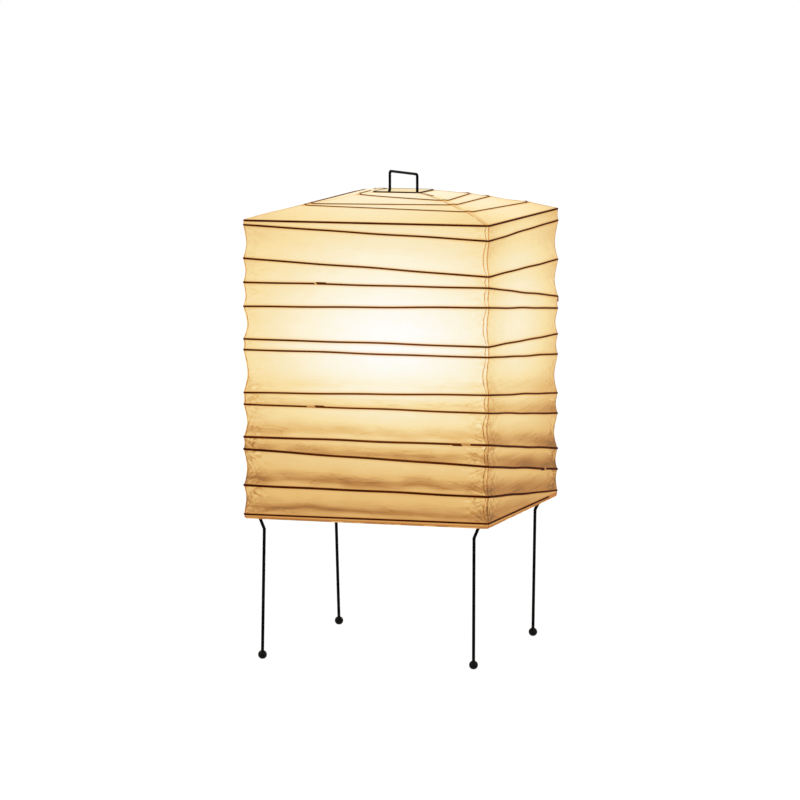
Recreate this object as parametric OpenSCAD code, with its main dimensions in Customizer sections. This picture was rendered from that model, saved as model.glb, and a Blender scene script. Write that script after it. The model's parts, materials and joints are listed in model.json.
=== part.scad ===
// Paper table lamp: a square shade of paper on one bamboo rib that winds round it from the
// top to the hem, standing on a bent wire base. A wire bow under the roof carries the shade
// and comes out of its top as a handle.
// The front faces -Y. Corners, from above: A front left, B front right, C back right,
// D back left. The bow stands in the upright plane through B and D.

/* [Paper shade] */
// Width across two flat sides, over the paper
shade_w = 280; // [240:5:340]
// Height of the walls, from the eave to the lower edge of the paper
wall_h = 331; // [290:1:400]
// Height of the roof, from the eave to the top opening
roof_rise = 27; // [20:1:45]
// Thickness of the paper with its glue
paper_t = 0.3; // [0.2:0.05:0.5]
// Width of the lap where one sheet is pasted over the next at a corner
lap_w = 5; // [3:0.5:8]
// Height of the hem that is turned up inside the walls
hem_h = 9; // [5:1:15]
// How much higher than a flat roof the hips over the bow stand
bow_hip_bulge = 5.2; // [0:0.2:8]
// How much higher than a flat roof the other two hips stand
side_hip_bulge = 2.4; // [0:0.2:5]
// How far the paper draws in between two ribs, as a share of the band's height
draw_ratio = 0.1; // [0:0.01:0.12]
// The most that the paper draws in at a corner
draw_max = 3.2; // [0:0.1:4]
// Share of that draw left at the middle of a side
draw_mid = 0.35; // [0:0.05:1]
// Height of a band too narrow to draw in
flat_band = 8; // [4:1:12]

/* [Ribs and rings] */
// Thickness of the rib that winds round the walls
rib_d = 1.8; // [1.2:0.1:2]
// Thickness of the rib that winds round the roof
roof_rib_d = 1.4; // [1:0.1:2]
// Bend radius of the ribs at a corner
rib_bend = 3; // [2:0.5:6]
// Thickness of the square hoop at the eave
eave_d = 2; // [1.6:0.1:3]
// Thickness of the wire round the top opening
top_wire_d = 2; // [1.6:0.1:2.5]
// Thickness of the wire in the hem
hem_wire_d = 2.5; // [2:0.1:3.5]
// Bend radius of the hoop and the two wires, at their middle line
ring_bend = 5; // [3:0.5:8]

/* [Stand] */
// Height from the floor to the lower edge of the paper
leg_h = 159; // [120:1:220]
// Thickness of the leg and base wires
leg_d = 3; // [2.5:0.1:4]
// How far inside the base frame's bent corners the legs' knees stand, in X and in Y
knee_in = 8.1; // [4:0.1:14]
// How far each foot stands off the square of the knees, in X and in Y, as the legs were bent
foot_lean = [[-5.4, -2], [-3.1, 3], [-1.2, -5], [2.6, 5]];
// How far each knee itself stands off that square, in X and in Y
knee_lean = [[-3.4, 0], [-1.9, 0], [-0.6, 0], [0.3, 0]];
// Diameter of the ball on each foot
foot_d = 10; // [8:0.5:14]
// Depth of the small flat that each ball stands on
foot_flat = 0.4; // [0.2:0.1:0.8]
// Depth of the hole in a ball for its leg
foot_hole = 6; // [4:0.5:7]
// How far below the paper the legs start to crank outwards
knee_drop = 13.5; // [6:0.5:20]
// Bend radius of the legs and of the base frame's corners
leg_bend = 5; // [4:0.5:8]
// Space all round between the base frame and the hem
frame_gap = 5; // [3:0.5:8]
// Height of the base frame's middle above the lower edge of the paper
frame_up = 11; // [9:0.5:16]
// Diameter of the plate that holds the lampholder
plate_d = 46; // [38:1:60]
// Thickness of that plate
plate_t = 1.5; // [1:0.1:3]

/* [Bow and handle] */
// Thickness of the bow wire
bow_d = 2.5; // [2:0.1:3]
// Distance between the two upright runs of the bow
bow_w = 144; // [120:1:180]
// Width of the handle
handle_w = 66; // [50:1:69]
// Room across the top opening beyond the handle's legs
handle_room = 9.3; // [8:0.1:24]
// Height of the handle's middle line above the top opening
handle_h = 19; // [14:0.5:40]
// Bend radius of the bow and handle
bow_bend = 3; // [2.5:0.5:6]
// Outer diameter of the short tubes in which the bow stands
socket_d = 6; // [5:0.2:8]
// Height of those tubes
socket_h = 16; // [10:1:25]

/* [Lampholder] */
// Outer diameter of the threaded tube that carries the lampholder
stem_d = 10; // [8:0.5:12]
// Bore of that tube, through which a cord is led
stem_bore = 7.8; // [5:0.2:8]
// Height of the bulb's contact above the plate
bulb_up = 107.9; // [80:0.1:140]
// Outer diameter of the lampholder
holder_d = 40; // [38:1:46]
// Thickness of its moulded walls
holder_wall = 1.8; // [1.5:0.1:2]
// Width across the flats of the two nuts on the tube
nut_flats = 14; // [13:1:19]
// Thickness of those nuts
nut_t = 3; // [2:0.5:4]
// Bore of the bush that guards a cord at the tube's lower end
bush_bore = 6.4; // [4:0.2:6.4]

/* [Bulb] */
// Widest diameter of the glass
bulb_d = 60; // [45:1:70]
// Length of the bulb, from its contact to the top of the glass
bulb_h = 106; // [95:1:120]
// Thickness of the glass
glass_t = 0.8; // [0.5:0.1:1]
// Diameter of the bulb's screw cap
cap_d = 26.2; // [26:0.1:26.4]

/* [Hidden] */
$fn = 48;

// Clearances: between two papers, from a rib to the paper, round a ring, and in a seat
paste_gap = 0.1;
rib_gap = 0.15;
roof_rib_gap = 0.25;
ring_gap = 0.2;
seat = 0.05;
slip = 0.1;
// From the ribs to the hoop above and the wire below, and how far a cut runs past a part
rib_clear = 0.3;
cut = 1;

half = shade_w / 2;
eave_z = leg_h + wall_h;
roof_z = eave_z + roof_rise;
open_half = (handle_w / sqrt(2) + handle_room) / 2;
lap_off = paste_gap + paper_t;
lap_ramp = 4;
RIGHT = [for (k = [0:3]) 90 * k];
CORNER = [[-1, -1], [1, -1], [1, 1], [-1, 1]];

// Where each turn of the wall rib rounds the corners D, A, B and C, in percent of its
// whole drop. One turn follows the other, so the rib is a single long winding.
WALL_TURNS = [
    [0, 0.6, 4.2, 3.2],
    [7.3, 12, 16.2, 17],
    [19.3, 20.2, 19.9, 30.1],
    [28.9, 28.4, 26.5, 34.3],
    [37.5, 39.5, 39.7, 43.4],
    [44.3, 43.2, 43.2, 50.6],
    [54.8, 57.9, 55.9, 64.4],
    [62.8, 61.9, 62, 71.6],
    [73.3, 73.1, 72.8, 84.1],
    [80.1, 77.3, 80.1, 91.5],
    [88.7, 89.7, 90.3, 99.1],
    [99.4, 99.7, 99.4, 100]
];
// The same for the roof rib, from the top opening to the eave
ROOF_TURNS = [
    [7, 12, 39, 29],
    [38, 50, 52, 45],
    [50, 55, 73.5, 76.5],
    [86, 98]
];
// Where the ribs begin and end along a side, from -1 at its left end to 1 at its right
roof_rib_start = 0;
roof_rib_end = 0.8;
wall_rib_end = 0.75;

wall_rib_steps = [for (turn = WALL_TURNS, at = turn) at / 100];
roof_rib_steps = [for (turn = ROOF_TURNS, at = turn) at / 100];
rib_top = paper_t + paste_gap + eave_d + rib_d / 2 + rib_clear;
hem_wire_z = leg_h + paper_t + paste_gap + hem_wire_d / 2;
rib_low = eave_z - hem_wire_z - hem_wire_d / 2 - rib_d / 2 - rib_clear;

// Middle lines of the ribs and wires, as half the width of their square
rib_half = half - paper_t - rib_gap - rib_d / 2;
eave_half = half - paper_t - ring_gap - eave_d / 2;
hem_wire_half = half - paper_t - ring_gap - hem_wire_d / 2;
hem_in = hem_wire_half - hem_wire_d / 2 - paste_gap - paper_t;
top_ring_half = open_half - top_wire_d / 2;
frame_half = hem_in - frame_gap - leg_d / 2;

eave_wire_z = eave_z - paper_t - paste_gap - eave_d / 2;
top_ring_z = roof_z - paper_t - paste_gap - top_wire_d / 2;
bow_z = top_ring_z - top_wire_d / 2 - seat - bow_d / 2;
handle_z = roof_z + handle_h;
frame_z = leg_h + frame_up;
arm_z = frame_z + leg_d + seat;
plate_z = arm_z + leg_d / 2 + seat;
plate_top = plate_z + plate_t;
tip_z = plate_top + bulb_up;

// The corner of the base frame, where the legs and arms meet it, as half a square's width
frame_corner = frame_half - leg_bend + leg_bend / sqrt(2);
knee_half = frame_corner - knee_in;
knee_z = leg_h - knee_drop;
// A leg's upper end stands upright under the frame for this length
leg_end = 4;
leg_top = frame_z - leg_d / 2 - seat;
crank_z = leg_top - leg_end;
foot_z = foot_d / 2 - foot_flat;
wire_hole = leg_d + 2 * slip;

function mix(a, b, t) = a + (b - a) * t;
function unit(v) = v / norm(v);
function turned(p, k) = [
    p.x * cos(RIGHT[k]) - p.y * sin(RIGHT[k]),
    p.x * sin(RIGHT[k]) + p.y * cos(RIGHT[k]),
    p.z
];

// Paper walls. Depths are measured down from the eave.
function rib_depth(j) = mix(rib_top, rib_low, wall_rib_steps[max(0, j)]);
WALL_FIRST = [1, 2, 3, 0];
function edge_line(depth) = [[depth, depth, depth]];
// The lines that a wall's bands lie between, each as [at the corner before, left, right]
function wall_lines(k) = concat(
    edge_line(paper_t + paste_gap),
    [for (j = [WALL_FIRST[k]:4:len(wall_rib_steps) - 2])
        [rib_depth(j - 1), rib_depth(j), rib_depth(j + 1)]],
    edge_line(wall_h - paper_t - paste_gap)
);
function band_draw(h, t) = min(draw_max, draw_ratio * max(0, h - flat_band)) * sin(180 * t);
function wall_draw(h, t, u) = band_draw(h, t) * mix(draw_mid, 1, pow(u, 4));
// A point of a wall at u along it, given its line's depths and the band's heights
function wall_point(u, depths, heights, t) =
    let (s = (u + 1) / 2, corner = band_draw(u < 0 ? heights[0] : heights[1], t))
    [u * (half - corner), wall_draw(mix(heights[0], heights[1], s), t, u) - half,
     eave_z - mix(depths[0], depths[1], s)];
// One row of a wall as [outer points, inner points], with its lap at the left end
function wall_row(lines, i, t) =
    let (
        below = lines[min(i + 1, len(lines) - 1)],
        line = [for (m = [0:2]) mix(lines[i][m], below[m], t)],
        tall = [for (m = [0:2]) below[m] - lines[i][m]],
        there = wall_point(1 - lap_w / half, [line[0], line[1]], [tall[0], tall[1]], t),
        corner = wall_point(-1, [line[1], line[2]], [tall[1], tall[2]], t),
        own = [for (u = [-1 + lap_ramp / half, -0.6, -0.2, 0.2, 0.6, 1 - lap_w / half, 1])
            wall_point(u, [line[1], line[2]], [tall[1], tall[2]], t)
            - (u == 1 ? [paste_gap, 0, 0] : [0, 0, 0])],
        lap_end = [there.y - lap_off, -there.x, there.z]
    )
    [concat([lap_end, corner - [lap_off, lap_off, 0]], own),
     concat([lap_end + [paper_t, 0, 0], corner - [paste_gap, paste_gap, 0]],
            [for (p = own) p + [0, paper_t, 0]])];
function band_steps(lines, i) =
    max([for (m = [1:2]) lines[i + 1][m] - lines[i][m]]) > flat_band ? [0, 1 / 3, 2 / 3] : [0];
function wall_rows(k) =
    let (lines = wall_lines(k), last = len(lines) - 1)
    concat([for (i = [0:last - 1], t = band_steps(lines, i)) wall_row(lines, i, t)],
           [wall_row(lines, last, 0)]);

// Paper roof, at u along a side and f from the top opening, 0, to the eave, 1
function hip_bulge(corner) = corner % 2 == 1 ? bow_hip_bulge : side_hip_bulge;
function roof_point(k, u, f) =
    let (w = mix(open_half, half, f), g = max(0, min(1, f)))
    [u * w, -w, roof_z - roof_rise * max(0, f)
        + (1 - pow(2 * g - 1, 4)) * mix(hip_bulge(k), hip_bulge(k + 1), (u + 1) / 2)];
// The roof's paper runs on a little inside the top opening
lip_w = 2;
top_lip = -lip_w / (half - open_half);
ROOF_STEPS = [top_lip, 0, 0.04, 0.1, 0.2, 0.32, 0.46, 0.6, 0.72, 0.82, 0.89, 0.95, 1];
function roof_row(k, f) =
    let (
        w = mix(open_half, half, f),
        there = roof_point((k + 3) % 4, 1 - lap_w / w, f),
        lap_end = [there.y, -there.x, there.z + lap_off],
        hip = roof_point(k, -1, f) + [0, 0, lap_off],
        own = [for (u = [-1 + lap_ramp / w, -0.5, 0, 0.5, 1 - lap_w / w, 1 - paste_gap / w])
            roof_point(k, u, f)]
    )
    [concat([lap_end, hip], own), concat([lap_end, hip, each own])
        - [for (i = [0:len(own) + 1]) [0, 0, paper_t]]];

// A closed sheet between an outer and an inner grid of points, given by rows from the top
module sheet(rows) {
    n = len(rows);
    m = len(rows[0][0]);
    points = concat([for (row = rows) each row[0]], [for (row = rows) each row[1]]);
    function o(r, c) = r * m + c;
    function i(r, c) = n * m + r * m + c;
    function quad(a, b, c, d) = [[a, b, c], [a, c, d]];
    polyhedron(points, concat(
        [for (r = [0:n - 2], c = [0:m - 2])
            each quad(o(r, c), o(r, c + 1), o(r + 1, c + 1), o(r + 1, c))],
        [for (r = [0:n - 2], c = [0:m - 2])
            each quad(i(r, c), i(r + 1, c), i(r + 1, c + 1), i(r, c + 1))],
        [for (c = [0:m - 2]) each quad(i(0, c), i(0, c + 1), o(0, c + 1), o(0, c))],
        [for (c = [0:m - 2]) each quad(o(n - 1, c), o(n - 1, c + 1), i(n - 1, c + 1), i(n - 1, c))],
        [for (r = [0:n - 2]) each quad(o(r, 0), o(r + 1, 0), i(r + 1, 0), i(r, 0))],
        [for (r = [0:n - 2])
            each quad(o(r + 1, m - 1), o(r, m - 1), i(r, m - 1), i(r + 1, m - 1))]
    ), convexity = 6);
}

// A tube of six sides along a path that never runs straight up
module swept_rib(path, d) {
    n = len(path);
    sides = 6;
    rings = [for (i = [0:n - 1])
        let (
            along = unit(path[min(i + 1, n - 1)] - path[max(i - 1, 0)]),
            side = unit(cross(along, [0, 0, 1])),
            up = cross(side, along)
        )
        each [for (s = [0:sides - 1])
            path[i] + d / 2 * (cos(360 * s / sides) * side + sin(360 * s / sides) * up)]];
    polyhedron(rings, concat(
        [[for (s = [0:sides - 1]) s]],
        [for (i = [0:n - 2], s = [0:sides - 1])
            let (a = i * sides + s, b = i * sides + (s + 1) % sides)
            each [[a, a + sides, b + sides], [a, b + sides, b]]],
        [[for (s = [sides - 1:-1:0]) (n - 1) * sides + s]]
    ), convexity = 10);
}

// Least gap between two stretches of a path that are more than half a turn apart
function self_gap(path, d, apart) =
    min([for (i = [0:len(path) - 1 - apart], j = [i + apart:len(path) - 1])
        norm(path[i] - path[j])]) - d;

// The four points where a winding rounds corner j, D being 0, A 1, B 2 and C 3
ARC = [0, 1, 2, 3];
function corner_plan(j, w, q) =
    let (c = CORNER[(j + 3) % 4], a = 90 * (j + 1) + 30 * q)
    [c.x * (w - rib_bend) + rib_bend * cos(a), c.y * (w - rib_bend) + rib_bend * sin(a)];

// Path of the wall rib
arc_share = (half - rib_half + rib_bend) / shade_w;
function wall_corner(j, q) =
    let (
        p = corner_plan(j, rib_half, q),
        next = min(j + 1, len(wall_rib_steps) - 1),
        rise = q == 0 ? rib_depth(j - 1) - rib_depth(j) : q == 3 ? rib_depth(next) - rib_depth(j) : 0
    )
    [p.x, p.y, eave_z - rib_depth(j) - arc_share * rise];
function wall_rib_path() =
    let (last = len(wall_rib_steps) - 2)
    concat(
        [wall_corner(0, 3)],
        [for (j = [1:last], q = ARC) wall_corner(j, q)],
        [[rib_half, wall_rib_end * half,
          eave_z - mix(rib_depth(last), rib_depth(last + 1), (wall_rib_end + 1) / 2)]]
    );

// Path of the roof rib, which lies under the paper. A gap across the sloping paper is
// longer by a small share when it is measured straight down.
slope_stretch = 1.06;
roof_drop = (paper_t + roof_rib_gap + roof_rib_d / 2) * slope_stretch;
// The side from corner j to the next: D to A is the left wall, A to B the front wall
function roof_side(j) = (j + 3) % 4;
function roof_under(j, u) =
    let (f = mix(roof_rib_steps[j], roof_rib_steps[j + 1], (u + 1) / 2))
    turned(roof_point(roof_side(j), u, f), roof_side(j)) - [0, 0, roof_drop];
function roof_corner(j, q) =
    let (
        f = roof_rib_steps[j],
        w = mix(open_half, half, f),
        p = corner_plan(j, w, q),
        hip = roof_point(roof_side(j), -1, f)
    )
    [p.x, p.y, hip.z - roof_drop];
function roof_rib_path() =
    let (last = len(roof_rib_steps) - 2)
    concat(
        [roof_under(0, roof_rib_start), roof_under(0, 0.5)],
        [for (j = [1:last], step = concat(ARC, [4, 5, 6]))
            step < 4 ? roof_corner(j, step) : roof_under(j, (step - 5) / 2)],
        [roof_under(last, roof_rib_end)]
    );

// Wire of round section along straight runs, with a true bend at each inner point. Each
// bend is a hair thinner than the wire and runs on a little way into the straights.
bend_thin = 0.04;
bend_over = 4;
module run(p, q, d) {
    v = q - p;
    translate(p)
        rotate([0, acos(v.z / norm(v)), atan2(v.y, v.x)])
            cylinder(h = norm(v), d = d);
}
function bend_cut(a, b, c, r) =
    let (t = acos(max(-1, min(1, unit(b - a) * unit(c - b))))) r * tan(t / 2);
module elbow(a, b, c, d, r) {
    u = unit(b - a);
    w = unit(c - b);
    n = unit(w - (w * u) * u);
    z = cross(u, n);
    o = b - bend_cut(a, b, c, r) * u + r * n;
    multmatrix([
        [-n.x, u.x, z.x, o.x],
        [-n.y, u.y, z.y, o.y],
        [-n.z, u.z, z.z, o.z],
        [0, 0, 0, 1]
    ])
        rotate(-bend_over)
            rotate_extrude(angle = acos(u * w) + 2 * bend_over)
                translate([r, 0]) circle(d = d - bend_thin);
}
module bent_wire(points, d, r) {
    last = len(points) - 1;
    for (i = [0:last - 1]) {
        u = unit(points[i + 1] - points[i]);
        from = i == 0 ? 0 : bend_cut(points[i - 1], points[i], points[i + 1], r);
        to = i == last - 1 ? 0 : bend_cut(points[i], points[i + 1], points[i + 2], r);
        run(points[i] + from * u, points[i + 1] - to * u, d);
    }
    for (i = [1:1:last - 1]) elbow(points[i - 1], points[i], points[i + 1], d, r);
}
module square_wire(w, z, d, r) {
    for (k = [0:3]) rotate(90 * k) {
        translate([r - w, -w, z]) rotate([0, 90, 0]) cylinder(h = 2 * (w - r), d = d);
        translate([w - r, r - w, z]) rotate(-90)
            rotate_extrude(angle = 90) translate([r, 0]) circle(d = d);
    }
}

// Legs, feet and base
function diagonal(k, w, z) = [CORNER[k].x * w, CORNER[k].y * w, z];
function foot_at(k) = diagonal(k, knee_half, foot_z) + [each foot_lean[k], 0];
function knee_at(k) = diagonal(k, knee_half, knee_z) + [each knee_lean[k], 0];
module leg(k) {
    knee = knee_at(k);
    foot = foot_at(k);
    end = foot + (foot_hole - foot_d / 2 - slip) * unit(foot - knee);
    color("black") bent_wire([
        end, knee, diagonal(k, frame_corner, crank_z),
        diagonal(k, frame_corner, leg_top)
    ], leg_d, leg_bend);
}
module foot(k) {
    knee = knee_at(k);
    at = foot_at(k);
    bottom = at + (foot_hole - foot_d / 2) * unit(at - knee);
    color("black") difference() {
        translate(at) sphere(d = foot_d);
        run(bottom, bottom + foot_d * unit(knee - at), wire_hole);
        translate(at - [foot_d, foot_d, foot_d + foot_z]) cube([2 * foot_d, 2 * foot_d, foot_d]);
    }
}
module base_frame() color("black") square_wire(frame_half, frame_z, leg_d, leg_bend);
// An arm starts a share of the plate's radius out, and ends just past the frame's middle line
arm_start = 0.4;
arm_over = 0.5;
module arm(k) color("black")
    run(diagonal(k, arm_start * plate_d / 2, arm_z), diagonal(k, frame_corner + arm_over, arm_z),
        leg_d);
module holder_plate() color("black") difference() {
    translate([0, 0, plate_z]) cylinder(h = plate_t, d = plate_d);
    translate([0, 0, plate_z - cut]) cylinder(h = plate_t + 2 * cut, d = stem_d + 2 * ring_gap);
}

// Bow: up from one socket, under the roof, over as the handle, and down to the other
socket_floor = 1.5;
bow_foot_z = arm_z + leg_d / 2 + socket_floor;
reach = bow_w / 2 / sqrt(2);
grip = handle_w / 2 / sqrt(2);
module bow() {
    color("black") bent_wire([
        [reach, -reach, bow_foot_z + slip], [reach, -reach, bow_z], [grip, -grip, bow_z],
        [grip, -grip, handle_z], [-grip, grip, handle_z],
        [-grip, grip, bow_z], [-reach, reach, bow_z], [-reach, reach, bow_foot_z + slip]
    ], bow_d, bow_bend);
}
module bow_socket(k) {
    color("black") difference() {
        translate(diagonal(k, reach, arm_z)) cylinder(h = socket_h, d = socket_d);
        run(diagonal(k, reach - socket_d, arm_z), diagonal(k, reach + socket_d, arm_z),
            leg_d + 2 * seat);
        translate(diagonal(k, reach, bow_foot_z)) cylinder(h = socket_h, d = bow_d + 2 * slip);
    }
}

// Lampholder. Heights in its profiles are measured from the bulb's contact.
holder_low = -38;
stem_in = 8;
stem_below = 8;
stem_low = frame_z - stem_below;
stem_top = tip_z + holder_low + stem_in;
module turned_part(profile) translate([0, 0, tip_z]) rotate_extrude() polygon(profile);
module stem_tube() color("silver") translate([0, 0, stem_low]) difference() {
    cylinder(h = stem_top - stem_low, d = stem_d);
    translate([0, 0, -cut]) cylinder(h = stem_top - stem_low + 2 * cut, d = stem_bore);
}
module stem_nut(z) color("silver") translate([0, 0, z]) difference() {
    cylinder(h = nut_t, d = nut_flats / cos(30), $fn = 6);
    translate([0, 0, -cut]) cylinder(h = nut_t + 2 * cut, d = stem_d + 2 * slip);
}
washer_t = 1;
washer_d = nut_flats + 6;
module washer() color("silver") translate([0, 0, plate_top + seat]) difference() {
    cylinder(h = washer_t, d = washer_d);
    translate([0, 0, -cut]) cylinder(h = washer_t + 2 * cut, d = stem_d + 2 * ring_gap);
}
bush_flange = 2;
bush_flange_d = stem_d + 3;
bush_in = 5;
module cord_bush() color("dimgray") translate([0, 0, stem_low - bush_flange - seat]) difference() {
    union() {
        cylinder(h = bush_flange, d = bush_flange_d);
        cylinder(h = bush_flange + bush_in, d = stem_bore - 2 * slip);
    }
    translate([0, 0, -cut]) cylinder(h = bush_flange + bush_in + 2 * cut, d = bush_bore);
}
holder_r = holder_d / 2;
collar_r = stem_d / 2 + 1.8;
collar_h = 7;
bowl_low = holder_low + 9;
bowl_floor = holder_low + 11;
bowl_h = 11;
bowl_in_h = 9.5;
cap_rim = -13;
shell_top = 21.2;
module holder_cap() {
    outer = [for (a = [0:15:90])
        [mix(collar_r + 1.2, holder_r, sin(a)), bowl_low + bowl_h * (1 - cos(a))]];
    inner = [for (a = [90:-15:0])
        [mix(collar_r + 0.2, holder_r - holder_wall, sin(a)), bowl_floor + bowl_in_h * (1 - cos(a))]];
    color("dimgray") turned_part(concat(
        [[stem_d / 2 + slip, holder_low], [collar_r, holder_low], [collar_r, holder_low + collar_h]],
        outer,
        [[holder_r, cap_rim], [holder_r - holder_wall, cap_rim]],
        inner,
        [[stem_d / 2 + slip, bowl_floor]]
    ));
}
spigot_r = holder_r - holder_wall - ring_gap;
spigot_h = 4.5;
ledge_r = spigot_r - holder_wall;
ledge_z = -10;
shell_in = holder_r - holder_wall - 1;
top_round = 1.2;
module holder_shell() color("dimgray") turned_part([
    [ledge_r, cap_rim - spigot_h], [spigot_r, cap_rim - spigot_h], [spigot_r, cap_rim + seat],
    [holder_r, cap_rim + seat], [holder_r, shell_top - top_round],
    [holder_r - top_round, shell_top], [shell_in, shell_top], [shell_in, ledge_z],
    [ledge_r, ledge_z]
]);
insulator_top = -4;
insulator_low = ledge_z - 4;
boss_r = 13;
screw_at = 9;
screw_in = 6;
module holder_insulator() color("ivory") difference() {
    union() {
        turned_part([[0, ledge_z + seat], [shell_in - ring_gap, ledge_z + seat],
                     [shell_in - ring_gap, insulator_top], [0, insulator_top]]);
        turned_part([[0, insulator_low], [boss_r, insulator_low], [boss_r, ledge_z + seat],
                     [0, ledge_z + seat]]);
    }
    for (s = [-1, 1]) translate([s * screw_at, 0, tip_z + insulator_low - cut])
        cylinder(h = screw_in + 2 * cut, d = 3);
}
module terminal_screws() color("goldenrod") for (s = [-1, 1])
    translate([s * screw_at, 0, tip_z + insulator_low - seat]) {
        translate([0, 0, -2]) cylinder(h = 2, d = 5);
        cylinder(h = screw_in, d = 2.8);
    }
sleeve_r = cap_d / 2 + 0.3;
brass_t = 0.6;
sleeve_low = insulator_top + seat;
sleeve_top = shell_top - 2;
sleeve_hole = 9.5;
module holder_screw_shell() color("goldenrod") turned_part([
    [sleeve_hole, sleeve_low], [sleeve_r + brass_t, sleeve_low],
    [sleeve_r + brass_t, sleeve_top], [sleeve_r, sleeve_top],
    [sleeve_r, sleeve_low + brass_t], [sleeve_hole, sleeve_low + brass_t]
]);
// A spring tongue, riveted at its left end and sprung up to the bulb's contact
tongue_w = 6;
tongue_t = 0.5;
module holder_contact() color("goldenrod")
    translate([0, tongue_w / 2, tip_z]) rotate([90, 0, 0]) linear_extrude(tongue_w) polygon([
        [-8, sleeve_low], [-4, sleeve_low], [1, -0.1 - tongue_t], [4, -0.4 - tongue_t],
        [4, -0.4], [1, -0.1], [-4, sleeve_low + tongue_t], [-8, sleeve_low + tongue_t]
    ]);

// Bulb, again from its contact
cap_r = cap_d / 2;
cap_in = cap_r - 0.4;
cap_low = 3.2;
cap_low_r = 10.5;
cap_top = 25;
neck_r = 14.2;
ball_r = bulb_d / 2;
ball_z = bulb_h - ball_r;
module bulb_contact() color("silver") turned_part([
    [0, 0], [3, 0], [4.5, 0.6], [4.5, 1.2], [0, 1.2]
]);
module bulb_insulator() color("black") turned_part([
    [0, 1.2 + seat], [5, 1.2 + seat], [cap_low_r, cap_low - seat], [0, cap_low - seat]
]);
module bulb_cap() color("silver") turned_part([
    [0, cap_low], [cap_low_r, cap_low], [cap_r, cap_low + 2.5], [cap_r, cap_top],
    [cap_in, cap_top], [cap_in, cap_low + 3], [cap_low_r - 0.5, cap_low + 0.8], [0, cap_low + 0.8]
]);
// Profile of the glass: a neck inside the cap, a smooth flare, and a round top
function flare(t, r_low, r_high) = mix(r_low, r_high, t * t * (3 - 2 * t));
function glass_line(in) = concat(
    [[cap_in - slip - in, cap_top - 4], [cap_in - slip - in, cap_top + 0.5]],
    [for (t = [0:0.125:1]) [flare(t, neck_r, ball_r) - in, mix(cap_top + 4, ball_z, t)]],
    [for (a = [15:15:75]) [(ball_r - in) * cos(a), ball_z + (ball_r - in) * sin(a)]],
    [[0, ball_z + ball_r - in]]
);
module bulb_glass() {
    outer = glass_line(0);
    inner = glass_line(glass_t);
    color("white") turned_part(concat(outer, [for (i = [len(inner) - 1:-1:0]) inner[i]]));
}
stem_glass_r = cap_in - slip - glass_t - seat;
stem_glass_top = 46;
module bulb_stem() color("white") turned_part([
    [0, cap_top - 2], [stem_glass_r, cap_top - 3.5], [stem_glass_r, cap_top - 2.5],
    [3, cap_top + 6], [3, stem_glass_top - 3], [2.2, stem_glass_top], [0, stem_glass_top]
]);
filament_d = 0.6;
filament_lead = 1.2;
filament_half = 12;
filament_back = 5;
filament_low = ball_z - 6;
filament_high = ball_z - 3;
module bulb_filament() color("gray") translate([0, 0, tip_z]) bent_wire([
    [-filament_lead, 0, stem_glass_top + seat], [-filament_half, 0, filament_low],
    [-filament_half / 2, filament_back, filament_high],
    [filament_half / 2, filament_back, filament_high], [filament_half, 0, filament_low],
    [filament_lead, 0, stem_glass_top + seat]
], filament_d, filament_d);

// Shade
top_ring_bend = 3;
module top_ring() color("black")
    square_wire(top_ring_half, top_ring_z, top_wire_d, top_ring_bend);
module eave_hoop() color("saddlebrown") square_wire(eave_half, eave_wire_z, eave_d, ring_bend);
module hem_wire() color("black") square_wire(hem_wire_half, hem_wire_z, hem_wire_d, ring_bend);
module roof(k) color("cornsilk") rotate(RIGHT[k]) sheet([for (f = ROOF_STEPS) roof_row(k, f)]);
module wall(k) color("cornsilk") rotate(RIGHT[k]) sheet(wall_rows(k));
module roof_rib() color("saddlebrown") swept_rib(roof_rib_path(), roof_rib_d);
module wall_rib() color("saddlebrown") swept_rib(wall_rib_path(), rib_d);
// The paper of one side, turned in under the hem wire and up behind it. It ends where the
// wire's bends begin.
module hem(k) color("cornsilk") rotate(RIGHT[k]) translate([ring_bend - hem_wire_half, 0, leg_h]) {
    length = 2 * (hem_wire_half - ring_bend);
    translate([0, -half, 0]) cube([length, half - hem_in, paper_t]);
    translate([0, -hem_in - paper_t, 0]) cube([length, paper_t, hem_h]);
}

echo(wall_rib_least_gap = self_gap(wall_rib_path(), rib_d, 8));
echo(roof_rib_least_gap = self_gap(roof_rib_path(), roof_rib_d, 14));

leg(0);  // leg_front_left
leg(1);  // leg_front_right
leg(2);  // leg_back_right
leg(3);  // leg_back_left
foot(0);  // foot_front_left
foot(1);  // foot_front_right
foot(2);  // foot_back_right
foot(3);  // foot_back_left
base_frame();
arm(0);  // arm_front_left
arm(1);  // arm_front_right
arm(2);  // arm_back_right
arm(3);  // arm_back_left
holder_plate();
bow();
bow_socket(1);  // bow_socket_right
bow_socket(3);  // bow_socket_left
stem_tube();
stem_nut(plate_z - seat - nut_t);  // lower_nut
washer();
stem_nut(plate_top + 2 * seat + washer_t);  // upper_nut
cord_bush();
holder_cap();
holder_shell();
holder_insulator();
holder_screw_shell();
holder_contact();
terminal_screws();
bulb_glass();
bulb_cap();
bulb_insulator();
bulb_contact();
bulb_stem();
bulb_filament();
top_ring();
roof(0);  // roof_front
roof(1);  // roof_right
roof(2);  // roof_back
roof(3);  // roof_left
roof_rib();
eave_hoop();
wall(0);  // wall_front
wall(1);  // wall_right
wall(2);  // wall_back
wall(3);  // wall_left
wall_rib();
hem_wire();
hem(0);  // hem_front
hem(1);  // hem_right
hem(2);  // hem_back
hem(3);  // hem_left
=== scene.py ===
"""Paper table lamp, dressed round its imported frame.

Sizes inside the classes are millimetres, in the frame of the CAD part: +Z up, the front wall
facing -Y, the floor at zero. Meshes are written in metres, with every object at the origin.
Corners are A front left, B front right, C back right and D back left.
"""

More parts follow.
